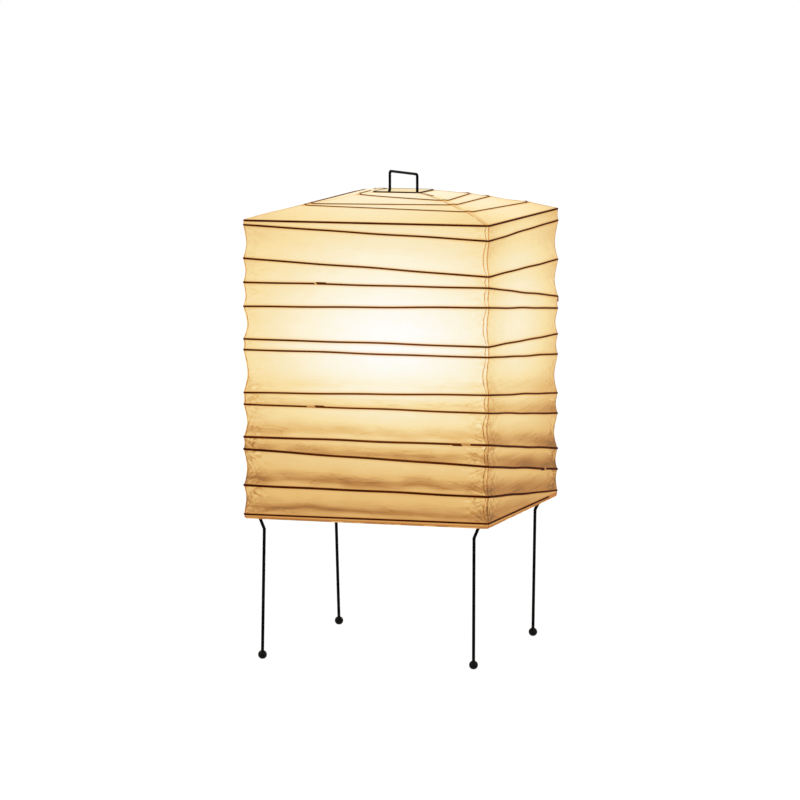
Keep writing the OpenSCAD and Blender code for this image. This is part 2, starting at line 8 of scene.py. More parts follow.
import json
import logging
import math
from dataclasses import dataclass, replace
from enum import Enum
from functools import cached_property
from typing import Any, Callable

import bmesh
import bpy
import numpy as np
from bpy.types import ID, Material, Node, NodeTree, Object
from mathutils import Matrix, Vector

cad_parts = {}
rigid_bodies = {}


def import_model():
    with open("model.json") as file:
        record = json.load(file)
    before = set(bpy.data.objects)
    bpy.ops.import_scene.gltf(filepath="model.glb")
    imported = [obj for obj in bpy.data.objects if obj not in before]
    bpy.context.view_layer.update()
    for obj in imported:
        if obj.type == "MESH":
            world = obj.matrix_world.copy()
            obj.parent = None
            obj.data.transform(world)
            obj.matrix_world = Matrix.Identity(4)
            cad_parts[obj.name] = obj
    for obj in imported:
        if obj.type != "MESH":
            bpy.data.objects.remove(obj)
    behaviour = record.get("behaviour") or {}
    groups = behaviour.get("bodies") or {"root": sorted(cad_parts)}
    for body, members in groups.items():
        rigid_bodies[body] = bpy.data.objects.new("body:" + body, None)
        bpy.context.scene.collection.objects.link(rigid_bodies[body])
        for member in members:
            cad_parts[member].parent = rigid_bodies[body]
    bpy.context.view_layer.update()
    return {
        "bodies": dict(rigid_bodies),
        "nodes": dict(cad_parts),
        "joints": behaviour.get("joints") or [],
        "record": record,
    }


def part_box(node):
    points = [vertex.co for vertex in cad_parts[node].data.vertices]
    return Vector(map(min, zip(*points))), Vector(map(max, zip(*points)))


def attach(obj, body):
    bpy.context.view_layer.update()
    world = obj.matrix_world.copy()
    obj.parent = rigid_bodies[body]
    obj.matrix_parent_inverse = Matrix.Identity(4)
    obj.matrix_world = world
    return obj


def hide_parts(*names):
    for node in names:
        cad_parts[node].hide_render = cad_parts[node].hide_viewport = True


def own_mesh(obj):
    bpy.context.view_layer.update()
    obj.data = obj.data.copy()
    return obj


LOG = logging.getLogger("paper_table_lamp")
MM = 0.001
Array = np.ndarray
Triple = tuple[float, float, float]

# Where each turn of the wall rib rounds the corners D, A, B and C, in percent of its drop
WALL_TURNS = (
    (0, 0.6, 4.2, 3.2),
    (7.3, 12, 16.2, 17),
    (19.3, 20.2, 19.9, 30.1),
    (28.9, 28.4, 26.5, 34.3),
    (37.5, 39.5, 39.7, 43.4),
    (44.3, 43.2, 43.2, 50.6),
    (54.8, 57.9, 55.9, 64.4),
    (62.8, 61.9, 62, 71.6),
    (73.3, 73.1, 72.8, 84.1),
    (80.1, 77.3, 80.1, 91.5),
    (88.7, 89.7, 90.3, 99.1),
    (99.4, 99.7, 99.4, 100),
)
# The same for the roof rib, from the top opening out to the eave
ROOF_TURNS = ((7, 12, 39, 29), (38, 50, 52, 45), (50, 55, 73.5, 76.5), (86, 98))


class Body(str, Enum):
    """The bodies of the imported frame."""

    STAND = "stand"
    BULB = "bulb"
    SHADE_TOP = "shade_top"
    SHADE_BOTTOM = "shade_bottom"


class Side(Enum):
    """The four sides of the shade, counted anticlockwise from above."""

    FRONT = 0
    RIGHT = 1
    BACK = 2
    LEFT = 3


# --------------------------------------------------------------------------- nodes and colours


def linear(hex_colour: str) -> tuple[float, float, float, float]:
    """Turn an sRGB hex colour into linear RGBA.

    Args:
        hex_colour: six hex digits after a hash sign.

    Returns:
        The linear colour, with an alpha of one.
    """
    parts = [int(hex_colour[i : i + 2], 16) / 255 for i in (1, 3, 5)]
    r, g, b = (c / 12.92 if c <= 0.04045 else ((c + 0.055) / 1.055) ** 2.4 for c in parts)
    return (r, g, b, 1.0)


class Flow:
    """A value on its way through a node tree. Sums with it add the nodes that work them out."""

    def __init__(self, tree: NodeTree, node: Node, out: int | str) -> None:
        """Take one output of a node, by its name or number."""
        self.tree, self.node = tree, node
        self.socket = node.outputs[out] if node.outputs else None

    def maths(self, operation: str, *values: Any, **settings: Any) -> "Flow":
        """Work out an operation on this value and the others, in that order."""
        feeds = dict(enumerate((self, *values)))
        return add(self.tree, "ShaderNodeMath", feeds, operation=operation, **settings)

    def __add__(self, other: Any) -> "Flow":
        """Add a number or a flow."""
        return self.maths("ADD", other)

    def __sub__(self, other: Any) -> "Flow":
        """Take off a number or a flow."""
        return self.maths("SUBTRACT", other)

    def __mul__(self, other: Any) -> "Flow":
        """Multiply by a number or a flow."""
        return self.maths("MULTIPLY", other)

    def __pow__(self, power: float) -> "Flow":
        """Raise to a power."""
        return self.maths("POWER", power)

    def __abs__(self) -> "Flow":
        """Drop the sign."""
        return self.maths("ABSOLUTE")

    def __rsub__(self, number: float) -> "Flow":
        """Take this flow off a number."""
        return add(self.tree, "ShaderNodeMath", {0: number, 1: self}, operation="SUBTRACT")

    def __rtruediv__(self, number: float) -> "Flow":
        """Divide a number by this flow."""
        return add(self.tree, "ShaderNodeMath", {0: number, 1: self}, operation="DIVIDE")


def add(
    tree: NodeTree, kind: str, feeds: dict[Any, Any] | None = None, out: int | str = 0, **settings: Any
) -> Flow:
    """Add one node, with its settings, its values and its links.

    Args:
        tree: the shader or geometry tree.
        kind: Blender's name of the node's type.
        feeds: value or flow for each input, by the input's name or number.
        out: name or number of the output that is wanted.
        **settings: properties of the node itself.

    Returns:
        That output of the new node.
    """
    node = tree.nodes.new(kind)
    for key, value in settings.items():
        setattr(node, key, value)
    for key, value in (feeds or {}).items():
        if isinstance(value, Flow):
            tree.links.new(value.socket, node.inputs[key])
        else:
            node.inputs[key].default_value = value
    return Flow(tree, node, out)


def node_material(name: str, shade: Callable[[NodeTree], Flow]) -> Material:
    """Make a node material.

    Args:
        name: the material's name.
        shade: adds the nodes to an empty tree, and gives the shader.

    Returns:
        The material.
    """
    made = bpy.data.materials.new(name)
    made.use_nodes = True
    made.node_tree.nodes.clear()
    add(made.node_tree, "ShaderNodeOutputMaterial", {0: shade(made.node_tree)})
    return made


def stops(ramp: Flow, colours: dict[float, tuple[float, ...]]) -> None:
    """Set a colour ramp's stops.

    Args:
        ramp: the ramp's colour.
        colours: linear colour of each stop, by its place, in order.
    """
    elements = ramp.node.color_ramp.elements
    elements.remove(elements[-1])
    for i, (place, colour) in enumerate(colours.items()):
        element = elements.new(place) if i else elements[0]
        element.position, element.color = place, colour


def ease(value: Flow, low: float, high: float, first: float = 1.0, last: float = 0.0) -> Flow:
    """Ease from the first result to the last while a value goes from low to high."""
    ends = {"From Min": low, "From Max": high, "To Min": first, "To Max": last}
    return add(value.tree, "ShaderNodeMapRange", {"Value": value, **ends}, interpolation_type="SMOOTHSTEP")


def vectors(operation: str, one: Flow, *others: Any) -> Flow:
    """Work out a vector from one or two, or a number where the operation gives one.

    Args:
        operation: Blender's name of the operation.
        one: the first vector.
        *others: what else it takes.

    Returns:
        The result.
    """
    out = "Value" if operation in ("LENGTH", "DISTANCE", "DOT_PRODUCT") else "Vector"
    feeds = dict(enumerate((one, *others)))
    return add(one.tree, "ShaderNodeVectorMath", feeds, out, operation=operation)


# --------------------------------------------------------------------------- finishes


@dataclass(frozen=True)
class Finish:
    """A finish of one shader."""

    name: str

    def feeds(self, tree: NodeTree) -> dict[str, Any]:
        """What feeds the shader; each kind of finish has its own."""
        raise NotImplementedError

    def make(self) -> Material:
        """Build the finish's material."""
        return node_material(self.name, lambda tree: add(tree, "ShaderNodeBsdfPrincipled", self.feeds(tree)))


@dataclass(frozen=True)
class Pattern:
    """A noise on a sheet: waves per millimetre along it and down it, its detail and its swirl."""

    along: float
    down: float
    detail: float = 1.0
    swirl: float = 0.0

    def on(self, at: Flow, longer: float = 1.0, calmer: float = 1.0) -> Flow:
        """Lay the noise on a sheet.

        Args:
            at: the sheet's coordinates.
            longer: how many times longer its waves are along the sheet.
            calmer: how many times weaker its swirl is.

        Returns:
            The noise, about 0.5.
        """
        where = add(at.tree, "ShaderNodeMapping", {0: at, "Scale": (self.along / longer, self.down, 1.0)})
        feeds = {"Detail": self.detail, "Roughness": 0.6, "Distortion": self.swirl / calmer}
        return add(at.tree, "ShaderNodeTexNoise", {"Vector": where, "Scale": 1.0, **feeds}, "Fac")


def creased(light: Flow, grain: Flow, width: float, depth: Any) -> Flow:
    """Dim the light along fine creases, which follow the middle level of a noise."""
    return light * (1.0 - ease(abs(grain - 0.5), 0.0, width) * depth)


def tilted(light: Flow, grain: Flow, depth: Any) -> Flow:
    """Brighten and dim the light where a noise is high and low, as the paper turns."""
    return light * ((grain - 0.5) * depth + 1.0)


@dataclass(frozen=True)
class Washi(Finish):
    """Handmade mulberry paper, sized with persimmon tannin and lit from behind.

    The paper passes the bulb's light according to how far off and how squarely it hangs. Less
    comes through where it is pasted or doubled, and what comes is a deeper amber. The shade of
    its folds, wrinkles and pleats and the shadows of the hem's wire and the bow are painted into
    that light.
    Lengths are in millimetres. The pleats' patterns count waves per radian round a corner.
    """

    name: str = "washi_mulberry_paper"
    bulb_at: Triple = (29.6, 3.0, 347.4)
    reach: float = 140.0
    gain: float = 0.74
    squareness: float = 0.5
    low_loss: float = 0.95
    inside_light: float = 0.083
    # Painted fold shade: the light it takes, the heights where it starts and where it is full, and the least
    # light it leaves
    fold_loss: float = 0.62
    fold_top: float = 340.0
    fold_full: float = 202.0
    fold_least: float = 0.22
    paste_loss: float = 0.34
    lap: float = 5.6
    lap_line: float = 0.62
    lap_shade: float = 0.04
    streak: float = 1.0
    fan_reach: float = 1.0
    # The painted shadow of the hem's wire: its depth down the wall, none for no shadow, and the light it takes
    hem_shadow_line: float = 0.0
    hem_loss: float = 0.3
    reflected: str = "#6b4f31"
    stain: str = "#f0b452"
    tones: tuple[tuple[float, str], ...] = (
        (0.0, "#6e3f16"), (0.055, "#bd8548"), (0.15, "#e7bb74"),
        (0.30, "#f9dfa3"), (0.50, "#fdf2d4"), (0.8, "#fffefb"),
    )
    shadow_of_bow: bool = False
    under: "Washi | None" = None
    # Noises for the painted light and shade of wrinkles, ridges and pleats, and for fibres, pulp and the lap's
    # lines
    wrinkles: Pattern = Pattern(0.022, 0.24, 4.0, 0.8)
    ridges: Pattern = Pattern(0.012, 0.09, 2.0, 0.5)
    patches: Pattern = Pattern(0.05, 0.07)
    bold_pleats: Pattern = Pattern(1.6, 0.045, 1.0, 0.8)
    fine_pleats: Pattern = Pattern(2.8, 0.03, 3.0, 0.3)
    small_pleats: Pattern = Pattern(3.4, 0.07, 2.0, 0.6)
    fibres: Pattern = Pattern(0.10, 0.45, 5.0, 1.2)
    pulp: Pattern = Pattern(0.06, 0.09, 2.0)
    waver: Pattern = Pattern(0.0, 0.09)
    faintness: Pattern = Pattern(0.0, 0.16)

    def passed(self, place: Flow) -> Flow:
        """How much of the bulb's light the flat sheet passes at each place.

        Args:
            place: object coordinates.

        Returns:
            The light, where 1 is white.
        """
        ray = vectors("SUBTRACT", place, Vector(self.bulb_at) * MM)
        beam = vectors("NORMALIZE", ray)
        facing = vectors("DOT_PRODUCT", beam, add(place.tree, "ShaderNodeNewGeometry", out="Normal"))
        near = (self.reach * MM / vectors("LENGTH", ray)) ** 2.0
        downward = (add(place.tree, "ShaderNodeSeparateXYZ", {0: beam}, "Z") * -1.0).maths("MAXIMUM", 0.0)
        light = abs(facing) ** self.squareness * near * (1.0 - downward * self.low_loss)
        return light * self.gain + self.inside_light

    def bow_shadow(self, place: Flow) -> Flow:
        """The shadow of the bow's shoulders on the paper that lies on them.

        Args:
            place: object coordinates.

        Returns:
            The share of light that is left.
        """
        slant = math.sqrt(0.5)
        across, out = (abs(vectors("DOT_PRODUCT", place, (slant, y, 0))) for y in (slant, -slant))
        return 1.0 - ease(across, 0.0019, 0.0031) * ease(out, 0.066, 0.076)

    def pleated(self, light: Flow, fan: Flow, broken: Flow, lower: Flow) -> Flow:
        """Paint the light and shade of the pleats that fan out from where a rib rounds a corner.

        Args:
            light: the light without them.
            fan: angle and distance round the corner, and its number.
            broken: where the bold pleats show.
            lower: how deep pleats are at this height.

        Returns:
            The light.
        """
        away = add(fan.tree, "ShaderNodeSeparateXYZ", {0: fan}, "Y")
        near = ease(away, 9.0, 27.0 * self.fan_reach) * broken * lower
        far = ease(away, 3.0, 40.0 * self.fan_reach) * lower
        fine = self.fine_pleats.on(fan)
        light = creased(light, self.bold_pleats.on(fan), 0.075, near)
        light = tilted(creased(light, fine, 0.03, far * 0.42), fine, far * 1.3)
        # One side of a small pleat is brighter than the other
        beside = vectors("ADD", fan, (0.07, 1.5, 0.0))
        return light * ((self.small_pleats.on(fan) - self.small_pleats.on(beside)) * (far * 3.8) + 1.0)

    def feeds(self, tree: NodeTree) -> dict[str, Any]:
        """Work out the paper's light and relief.

        Args:
            tree: the material's tree.

        Returns:
            What feeds its shader.
        """
        place = add(tree, "ShaderNodeTexCoord", out="Object")
        sheet, fan_up, fan_low, fold, paste = (
            add(tree, "ShaderNodeAttribute", out=out, attribute_name=key)
            for out, keys in (("Vector", ("sheet", "fan_up", "fan_low")), ("Fac", ("fold", "paste")))
            for key in keys
        )
        along, down = (add(tree, "ShaderNodeSeparateXYZ", {0: sheet}, axis) for axis in "XY")
        flap = ease(along, -0.6, 0.4)
        flat = self.passed(place)
        if self.under:
            # The flap lies on the wall round the corner, and faces the bulb as that wall does
            flat = add(tree, "ShaderNodeMix", {0: flap, 2: flat, 3: self.under.passed(place)})
        # Painted shade of each band's fold, which turns from a bulb that stands above it
        span = {"From Min": self.fold_top * MM, "From Max": self.fold_full * MM}
        height = add(tree, "ShaderNodeSeparateXYZ", {0: place}, "Z")
        below = add(tree, "ShaderNodeMapRange", {"Value": height, **span})
        turned = fold * below
        light = flat * (1.0 - turned * self.fold_loss) * (1.0 - paste * self.paste_loss)
        # Painted light and shade of long flat wrinkles, deepest in each fold
        light = tilted(light, self.wrinkles.on(sheet, self.streak, self.streak**2), turned * 1.3 + 0.16)
        light = creased(light, self.ridges.on(sheet, self.streak, self.streak**2), 0.02, turned * 0.4)
        broken = ease(self.patches.on(sheet), 0.40, 0.54, 0.0, 1.0)
        for fan in (fan_up, fan_low):
            light = self.pleated(light, fan, broken, below * 0.6 + 0.13)
        # The darkest fold still gets light from the paper round it
        light = light.maths("MAXIMUM", flat * self.fold_least)
        fibres = self.fibres.on(sheet, self.streak, self.streak)
        light = tilted(tilted(light, fibres, 0.16), self.pulp.on(sheet), 0.16)
        # The lap's two edges and the paper under it, and the painted shadow of the hem's wire
        crease_at = abs(along - (self.waver.on(sheet) * 3.4 - 0.7))
        seam = ease(crease_at, 0.2, 1.7).maths("MAXIMUM", ease(abs(along + self.lap), 0.7, 2.1))
        uneven = ease(self.faintness.on(sheet), 0.35, 0.6, 0.5 * self.lap_line, 1.2 * self.lap_line)
        light = light * (1.0 - seam * uneven) * (1.0 - flap * self.lap_shade)
        if self.hem_shadow_line:
            light *= 1.0 - ease(abs(down - self.hem_shadow_line), 0.4, 0.9) * self.hem_loss
        if self.shadow_of_bow:
            light *= self.bow_shadow(place)
        ramp, paper = add(tree, "ShaderNodeValToRGB", {0: light}), linear(self.reflected)
        tones = {at: np.subtract(linear(tone), paper)[:3] for at, tone in self.tones}
        stops(ramp, {at: (*np.maximum(tone, 0), 1.0) for at, tone in tones.items()})
        # Paste and the cane's own tannin stain the paper beside a rib and along a seam
        pasted = paste.maths("MAXIMUM", seam * self.lap_line)
        browner_tone = add(
            tree, "ShaderNodeMix", {0: pasted, 6: ramp, 7: linear(self.stain)}, 2,
            data_type="RGBA", blend_type="MULTIPLY",
        )
        relief = add(tree, "ShaderNodeBump", {"Strength": 0.25, "Distance": 0.0004, "Height": fibres})
        return {
            "Base Color": paper, "Roughness": 0.86, "IOR": 1.5, "Specular IOR Level": 0.2, "Normal": relief,
            "Emission Color": browner_tone, "Emission Strength": 1.0,
        }


@dataclass(frozen=True)
class SplitBamboo(Finish):
    """A split bamboo cane with long fine streaks, drawn dark: partly its stain of paste and tannin,
    and partly painted shade, as a rib shows dark against paper lit from behind.

    Where the paper is brightest its light creeps round the cane and warms it, though less on the
    right wall. Lengths are in millimetres: blotch is a stain's width, and streak that of a bundle
    of fibres.
    """

    name: str = "split_bamboo_stain_and_shade"
    dark: str = "#2c0800"
    light: str = "#521804"
    halo: str = "#8a4a10"
    blotch: float = 200 / 11
    streak: float = 20 / 7
    bulb_at: Triple = (29.6, 3.0, 347.4)
    reach: float = 140.0
    right_wall: tuple[float, float] = (130.0, 138.0)
    right_share: float = 0.3

    def feeds(self, tree: NodeTree) -> dict[str, Any]:
        """Work out the cane's colour, its relief and the light that warms it.

        Args:
            tree: the material's tree.

        Returns:
            What feeds its shader.
        """
        place = add(tree, "ShaderNodeTexCoord", out="Object")
        blotch, streaks = (
            add(tree, "ShaderNodeTexNoise", {"Vector": place, "Scale": 1 / (size * MM), "Detail": fine}, "Fac")
            for size, fine in ((self.blotch, 2.0), (self.streak, 4.0))
        )
        ramp = add(tree, "ShaderNodeValToRGB", {0: blotch * 0.7 + streaks * 0.3})
        stops(ramp, {0.35: linear(self.dark), 0.68: linear(self.light)})
        near = (self.reach * MM / vectors("DISTANCE", place, Vector(self.bulb_at) * MM)) ** 2.0
        across = add(tree, "ShaderNodeSeparateXYZ", {0: place}, "X")
        facing = ease(across, self.right_wall[0] * MM, self.right_wall[1] * MM, 1.0, self.right_share)
        return {
            "Base Color": ramp, "Roughness": 0.7, "IOR": 1.5, "Specular IOR Level": 0.02,
            "Normal": add(tree, "ShaderNodeBump", {"Strength": 0.3, "Distance": 0.0002, "Height": streaks}),
            "Emission Color": linear(self.halo),
            "Emission Strength": (near - 0.35).maths("MULTIPLY", 0.8, use_clamp=True) * facing,
        }


@dataclass(frozen=True)
class Solid(Finish):
    """A finish of one substance, with a mottle in its colour, a grain in its gloss and a relief.

    mottle and grit are sizes in millimetres, and scale the two noises.
    """

    base: str
    shade: str
    roughness: float
    spread: float = 0.08
    metallic: float = 0.0
    ior: float = 1.5
    coat: float = 0.0
    mottle: float = 8.0
    grit: float = 0.6
    relief: float = 0.1
    gloss: float = 0.5
    stretch: Triple = (1.0, 1.0, 1.0)

    def feeds(self, tree: NodeTree) -> dict[str, Any]:
        """Work out the mottle, the gloss and the relief.

        Args:
            tree: the material's tree.

        Returns:
            What feeds the shader.
        """
        place = add(tree, "ShaderNodeTexCoord", out="Object")
        place = add(tree, "ShaderNodeMapping", {0: place, "Scale": self.stretch})
        blotch, grit = (
            add(tree, "ShaderNodeTexNoise", {"Vector": place, "Scale": 1 / (size * MM), "Detail": 3.0}, "Fac")
            for size in (self.mottle, self.grit)
        )
        colours = {0: blotch, 6: linear(self.base), 7: linear(self.shade)}
        gloss = {
            "From Min": 0.3, "From Max": 0.7,
            "To Min": self.roughness - self.spread, "To Max": self.roughness + self.spread,
        }
        relief = {"Strength": self.relief, "Distance": 0.0002, "Height": grit}
        feeds = {
            "Base Color": add(tree, "ShaderNodeMix", colours, 2, data_type="RGBA"),
            "Roughness": add(tree, "ShaderNodeMapRange", {"Value": grit, **gloss}),
            "Metallic": self.metallic, "Coat Weight": self.coat, "Coat Roughness": 0.12,
            "Normal": add(tree, "ShaderNodeBump", relief), "Specular IOR Level": self.gloss,
        }
        return feeds if self.metallic else {**feeds, "IOR": self.ior}


@dataclass(frozen=True)
class FrostedGlass(Finish):
    """Bulb glass, etched inside and lit: a warm white glow, brightest round the filament.

    Lengths are in millimetres. etch is the width of the etching's clouds, drawn far coarser than
    the real ones so that they show.
    """

    name: str = "frosted_bulb_glass"
    body: str = "#5f523c"
    rim: str = "#bf7f3a"
    glow: str = "#fff3d8"
    strength: float = 0.95
    filament_z: float = 360.0
    etch: float = 10 / 9
    bright_to: float = 22.0
    dim_from: float = 58.0

    def feeds(self, tree: NodeTree) -> dict[str, Any]:
        """Work out the glow and the etched relief.

        Args:
            tree: the material's tree.

        Returns:
            What feeds the shader.
        """
        place = add(tree, "ShaderNodeTexCoord", out="Object")
        gap = vectors("DISTANCE", place, (0, 0, self.filament_z * MM))
        size = {"Scale": 1 / (self.etch * MM), "Detail": 2.0}
        etch = add(tree, "ShaderNodeTexNoise", {"Vector": place, **size}, "Fac")
        ends = {"From Min": self.bright_to * MM, "From Max": self.dim_from * MM, "To Min": 1.0, "To Max": 0.0}
        lamp = add(tree, "ShaderNodeMapRange", {"Value": gap, **ends})
        colours = {0: lamp, 6: linear(self.rim), 7: linear(self.glow)}
        return {
            "Base Color": linear(self.body), "Roughness": 0.45, "IOR": 1.52,
            "Normal": add(tree, "ShaderNodeBump", {"Strength": 0.1, "Distance": 0.0002, "Height": etch}),
            "Emission Color": add(tree, "ShaderNodeMix", colours, 2, data_type="RGBA"),
            "Emission Strength": self.strength,
        }


FINISHES: dict[str, Finish] = {
    # Dark canes: partly their stain, partly painted shade of a rib against the lit paper
    "bamboo": SplitBamboo(),
    # Stove enamel over drawn wire: near black, a little brown where it thins on the edges
    "black_wire": Solid(
        "black_stoved_enamel", "#030303", "#0a0605", 0.46, gloss=0.03, mottle=5, grit=0.8, relief=0.04
    ),
    # Moulded rubber with a slight bloom
    "ball_rubber": Solid(
        "moulded_black_rubber", "#030202", "#080504", 0.36, gloss=0.08, mottle=4, grit=0.5, relief=0.2
    ),
    # Bright zinc on turned steel, with a faint turning grain
    "zinc_steel": Solid(
        "zinc_plated_steel", "#c9c6bd", "#9b988f", 0.3, metallic=1.0, mottle=3, grit=0.5, stretch=(1, 1, 6)
    ),
    # Moulded nylon: an even, slightly dull black
    "bush_plastic": Solid("moulded_nylon", "#14130f", "#201e1a", 0.5, mottle=4, grit=0.4),
    # Pressed phenolic: dark, hard and fairly glossy
    "phenolic": Solid(
        "pressed_phenolic", "#15110f", "#221a16", 0.28, coat=0.2, mottle=6, grit=0.5, relief=0.06
    ),
    # Fired porcelain under a clear glaze
    "porcelain": Solid(
        "glazed_porcelain", "#efe9dc", "#dfd6c4", 0.16, coat=0.6, mottle=9, grit=1.5, relief=0.04
    ),
    # Rolled sheet brass, with the rolling's faint lines
    "brass": Solid(
        "rolled_brass", "#d8a956", "#a8782f", 0.28, metallic=1.0, mottle=4, grit=0.4, stretch=(1, 1, 5)
    ),
    # Nickel over brass: warm, and bright where the thread is worn
    "nickel_cap": Solid(
        "nickel_plated_brass", "#cfc8b8", "#a79f90", 0.25, metallic=1.0, mottle=4, grit=0.5
    ),
    # Poured black glass, smooth and glossy
    "cap_insulator": Solid("black_vitrite_glass", "#0b0b10", "#16161d", 0.12, coat=0.4, mottle=4, grit=0.8),
    # Drawn glass: pale, hard and shiny
    "clear_glass": Solid(
        "drawn_lead_glass", "#dfe8e2", "#cdd8d1", 0.08, ior=1.55, coat=0.5, mottle=9, grit=2.0
    ),
    # Drawn tungsten: grey and fairly dull
    "tungsten": Solid("drawn_tungsten", "#6d6a66", "#4a4845", 0.45, metallic=1.0, mottle=2, grit=0.3),
    "frosted_glass": FrostedGlass(),
}


# --------------------------------------------------------------------------- meshes


def placed(name: str, data: ID) -> Object:
    """Link a new object at the origin.

    Args:
        name: its name.
        data: its mesh, light or camera.

    Returns:
        The object.
    """
    made = bpy.data.objects.new(name, data)
    bpy.context.scene.collection.objects.link(made)
    return made


def points(x: Any, y: Any, z: Any) -> Array:
    """Put coordinates together, one row for each point."""
    return np.stack(np.broadcast_arrays(x, y, z), -1)


def mesh_object(name: str, places: Array, faces: list[tuple[int, ...]], angle: float = 50.0) -> Object:
    """Make an object at the origin from points in millimetres.

    Args:
        name: the piece's name.
        places: one row of x, y and z for each point.
        faces: the points of each face, anticlockwise from outside.
        angle: edges sharper than this many degrees stay sharp.

    Returns:
        The linked object.
    """
    mesh = bpy.data.meshes.new(name)
    mesh.from_pydata((places * MM).tolist(), [], faces)
    mesh.validate()
    mesh.shade_smooth()
    mesh.set_sharp_from_angle(angle=math.radians(angle))
    return placed(name, mesh)


class Sheet:
    """A closed sheet of paper, gathered in rows from its top edge down."""

    def __init__(self) -> None:
        """Start with no rows."""
        self.outer: list[Array] = []
        self.inner: list[Array] = []
        self.facts: dict[str, list[Array]] = {}

    def row(self, outer: Array, inner: Array, **facts: Array) -> None:
        """Add a row.

        Args:
            outer: its points on the outer face, from the left as seen from outside.
            inner: the same points on the inner face.
            **facts: values for each point, which the paper's material reads.
        """
        self.outer.append(outer)
        self.inner.append(inner)
        for key, values in facts.items():
            self.facts.setdefault(key, []).append(values)

    def build(self, name: str, paper: Material) -> Object:
        """Make the sheet.

        Args:
            name: the piece's name.
            paper: its material.

        Returns:
            The linked object.
        """
        rows, columns = len(self.outer), len(self.outer[0])
        size = rows * columns
        index = np.arange(size).reshape(rows, columns)
        a, b, c, d = index[:-1, :-1], index[1:, :-1], index[1:, 1:], index[:-1, 1:]
        outside = np.stack([a, b, c, d], -1).reshape(-1, 4)
        inside = np.stack([d, c, b, a], -1).reshape(-1, 4) + size
        rim = np.concatenate([index[0, ::-1], index[1:, 0], index[-1, 1:], index[-2:0:-1, -1]])
        after = np.roll(rim, -1)
        edge = np.stack([after, rim, rim + size, after + size], -1)
        faces = np.concatenate([outside, inside, edge]).tolist()
        made = mesh_object(name, np.array(self.outer + self.inner).reshape(-1, 3), faces)
        for key, values in self.facts.items():
            both = np.array(values * 2, np.float32)
            wide = both.ndim == 3
            layer = made.data.attributes.new(key, "FLOAT_VECTOR" if wide else "FLOAT", "POINT")
            layer.data.foreach_set("vector" if wide else "value", both.ravel())
        made.data.materials.append(paper)
        return made


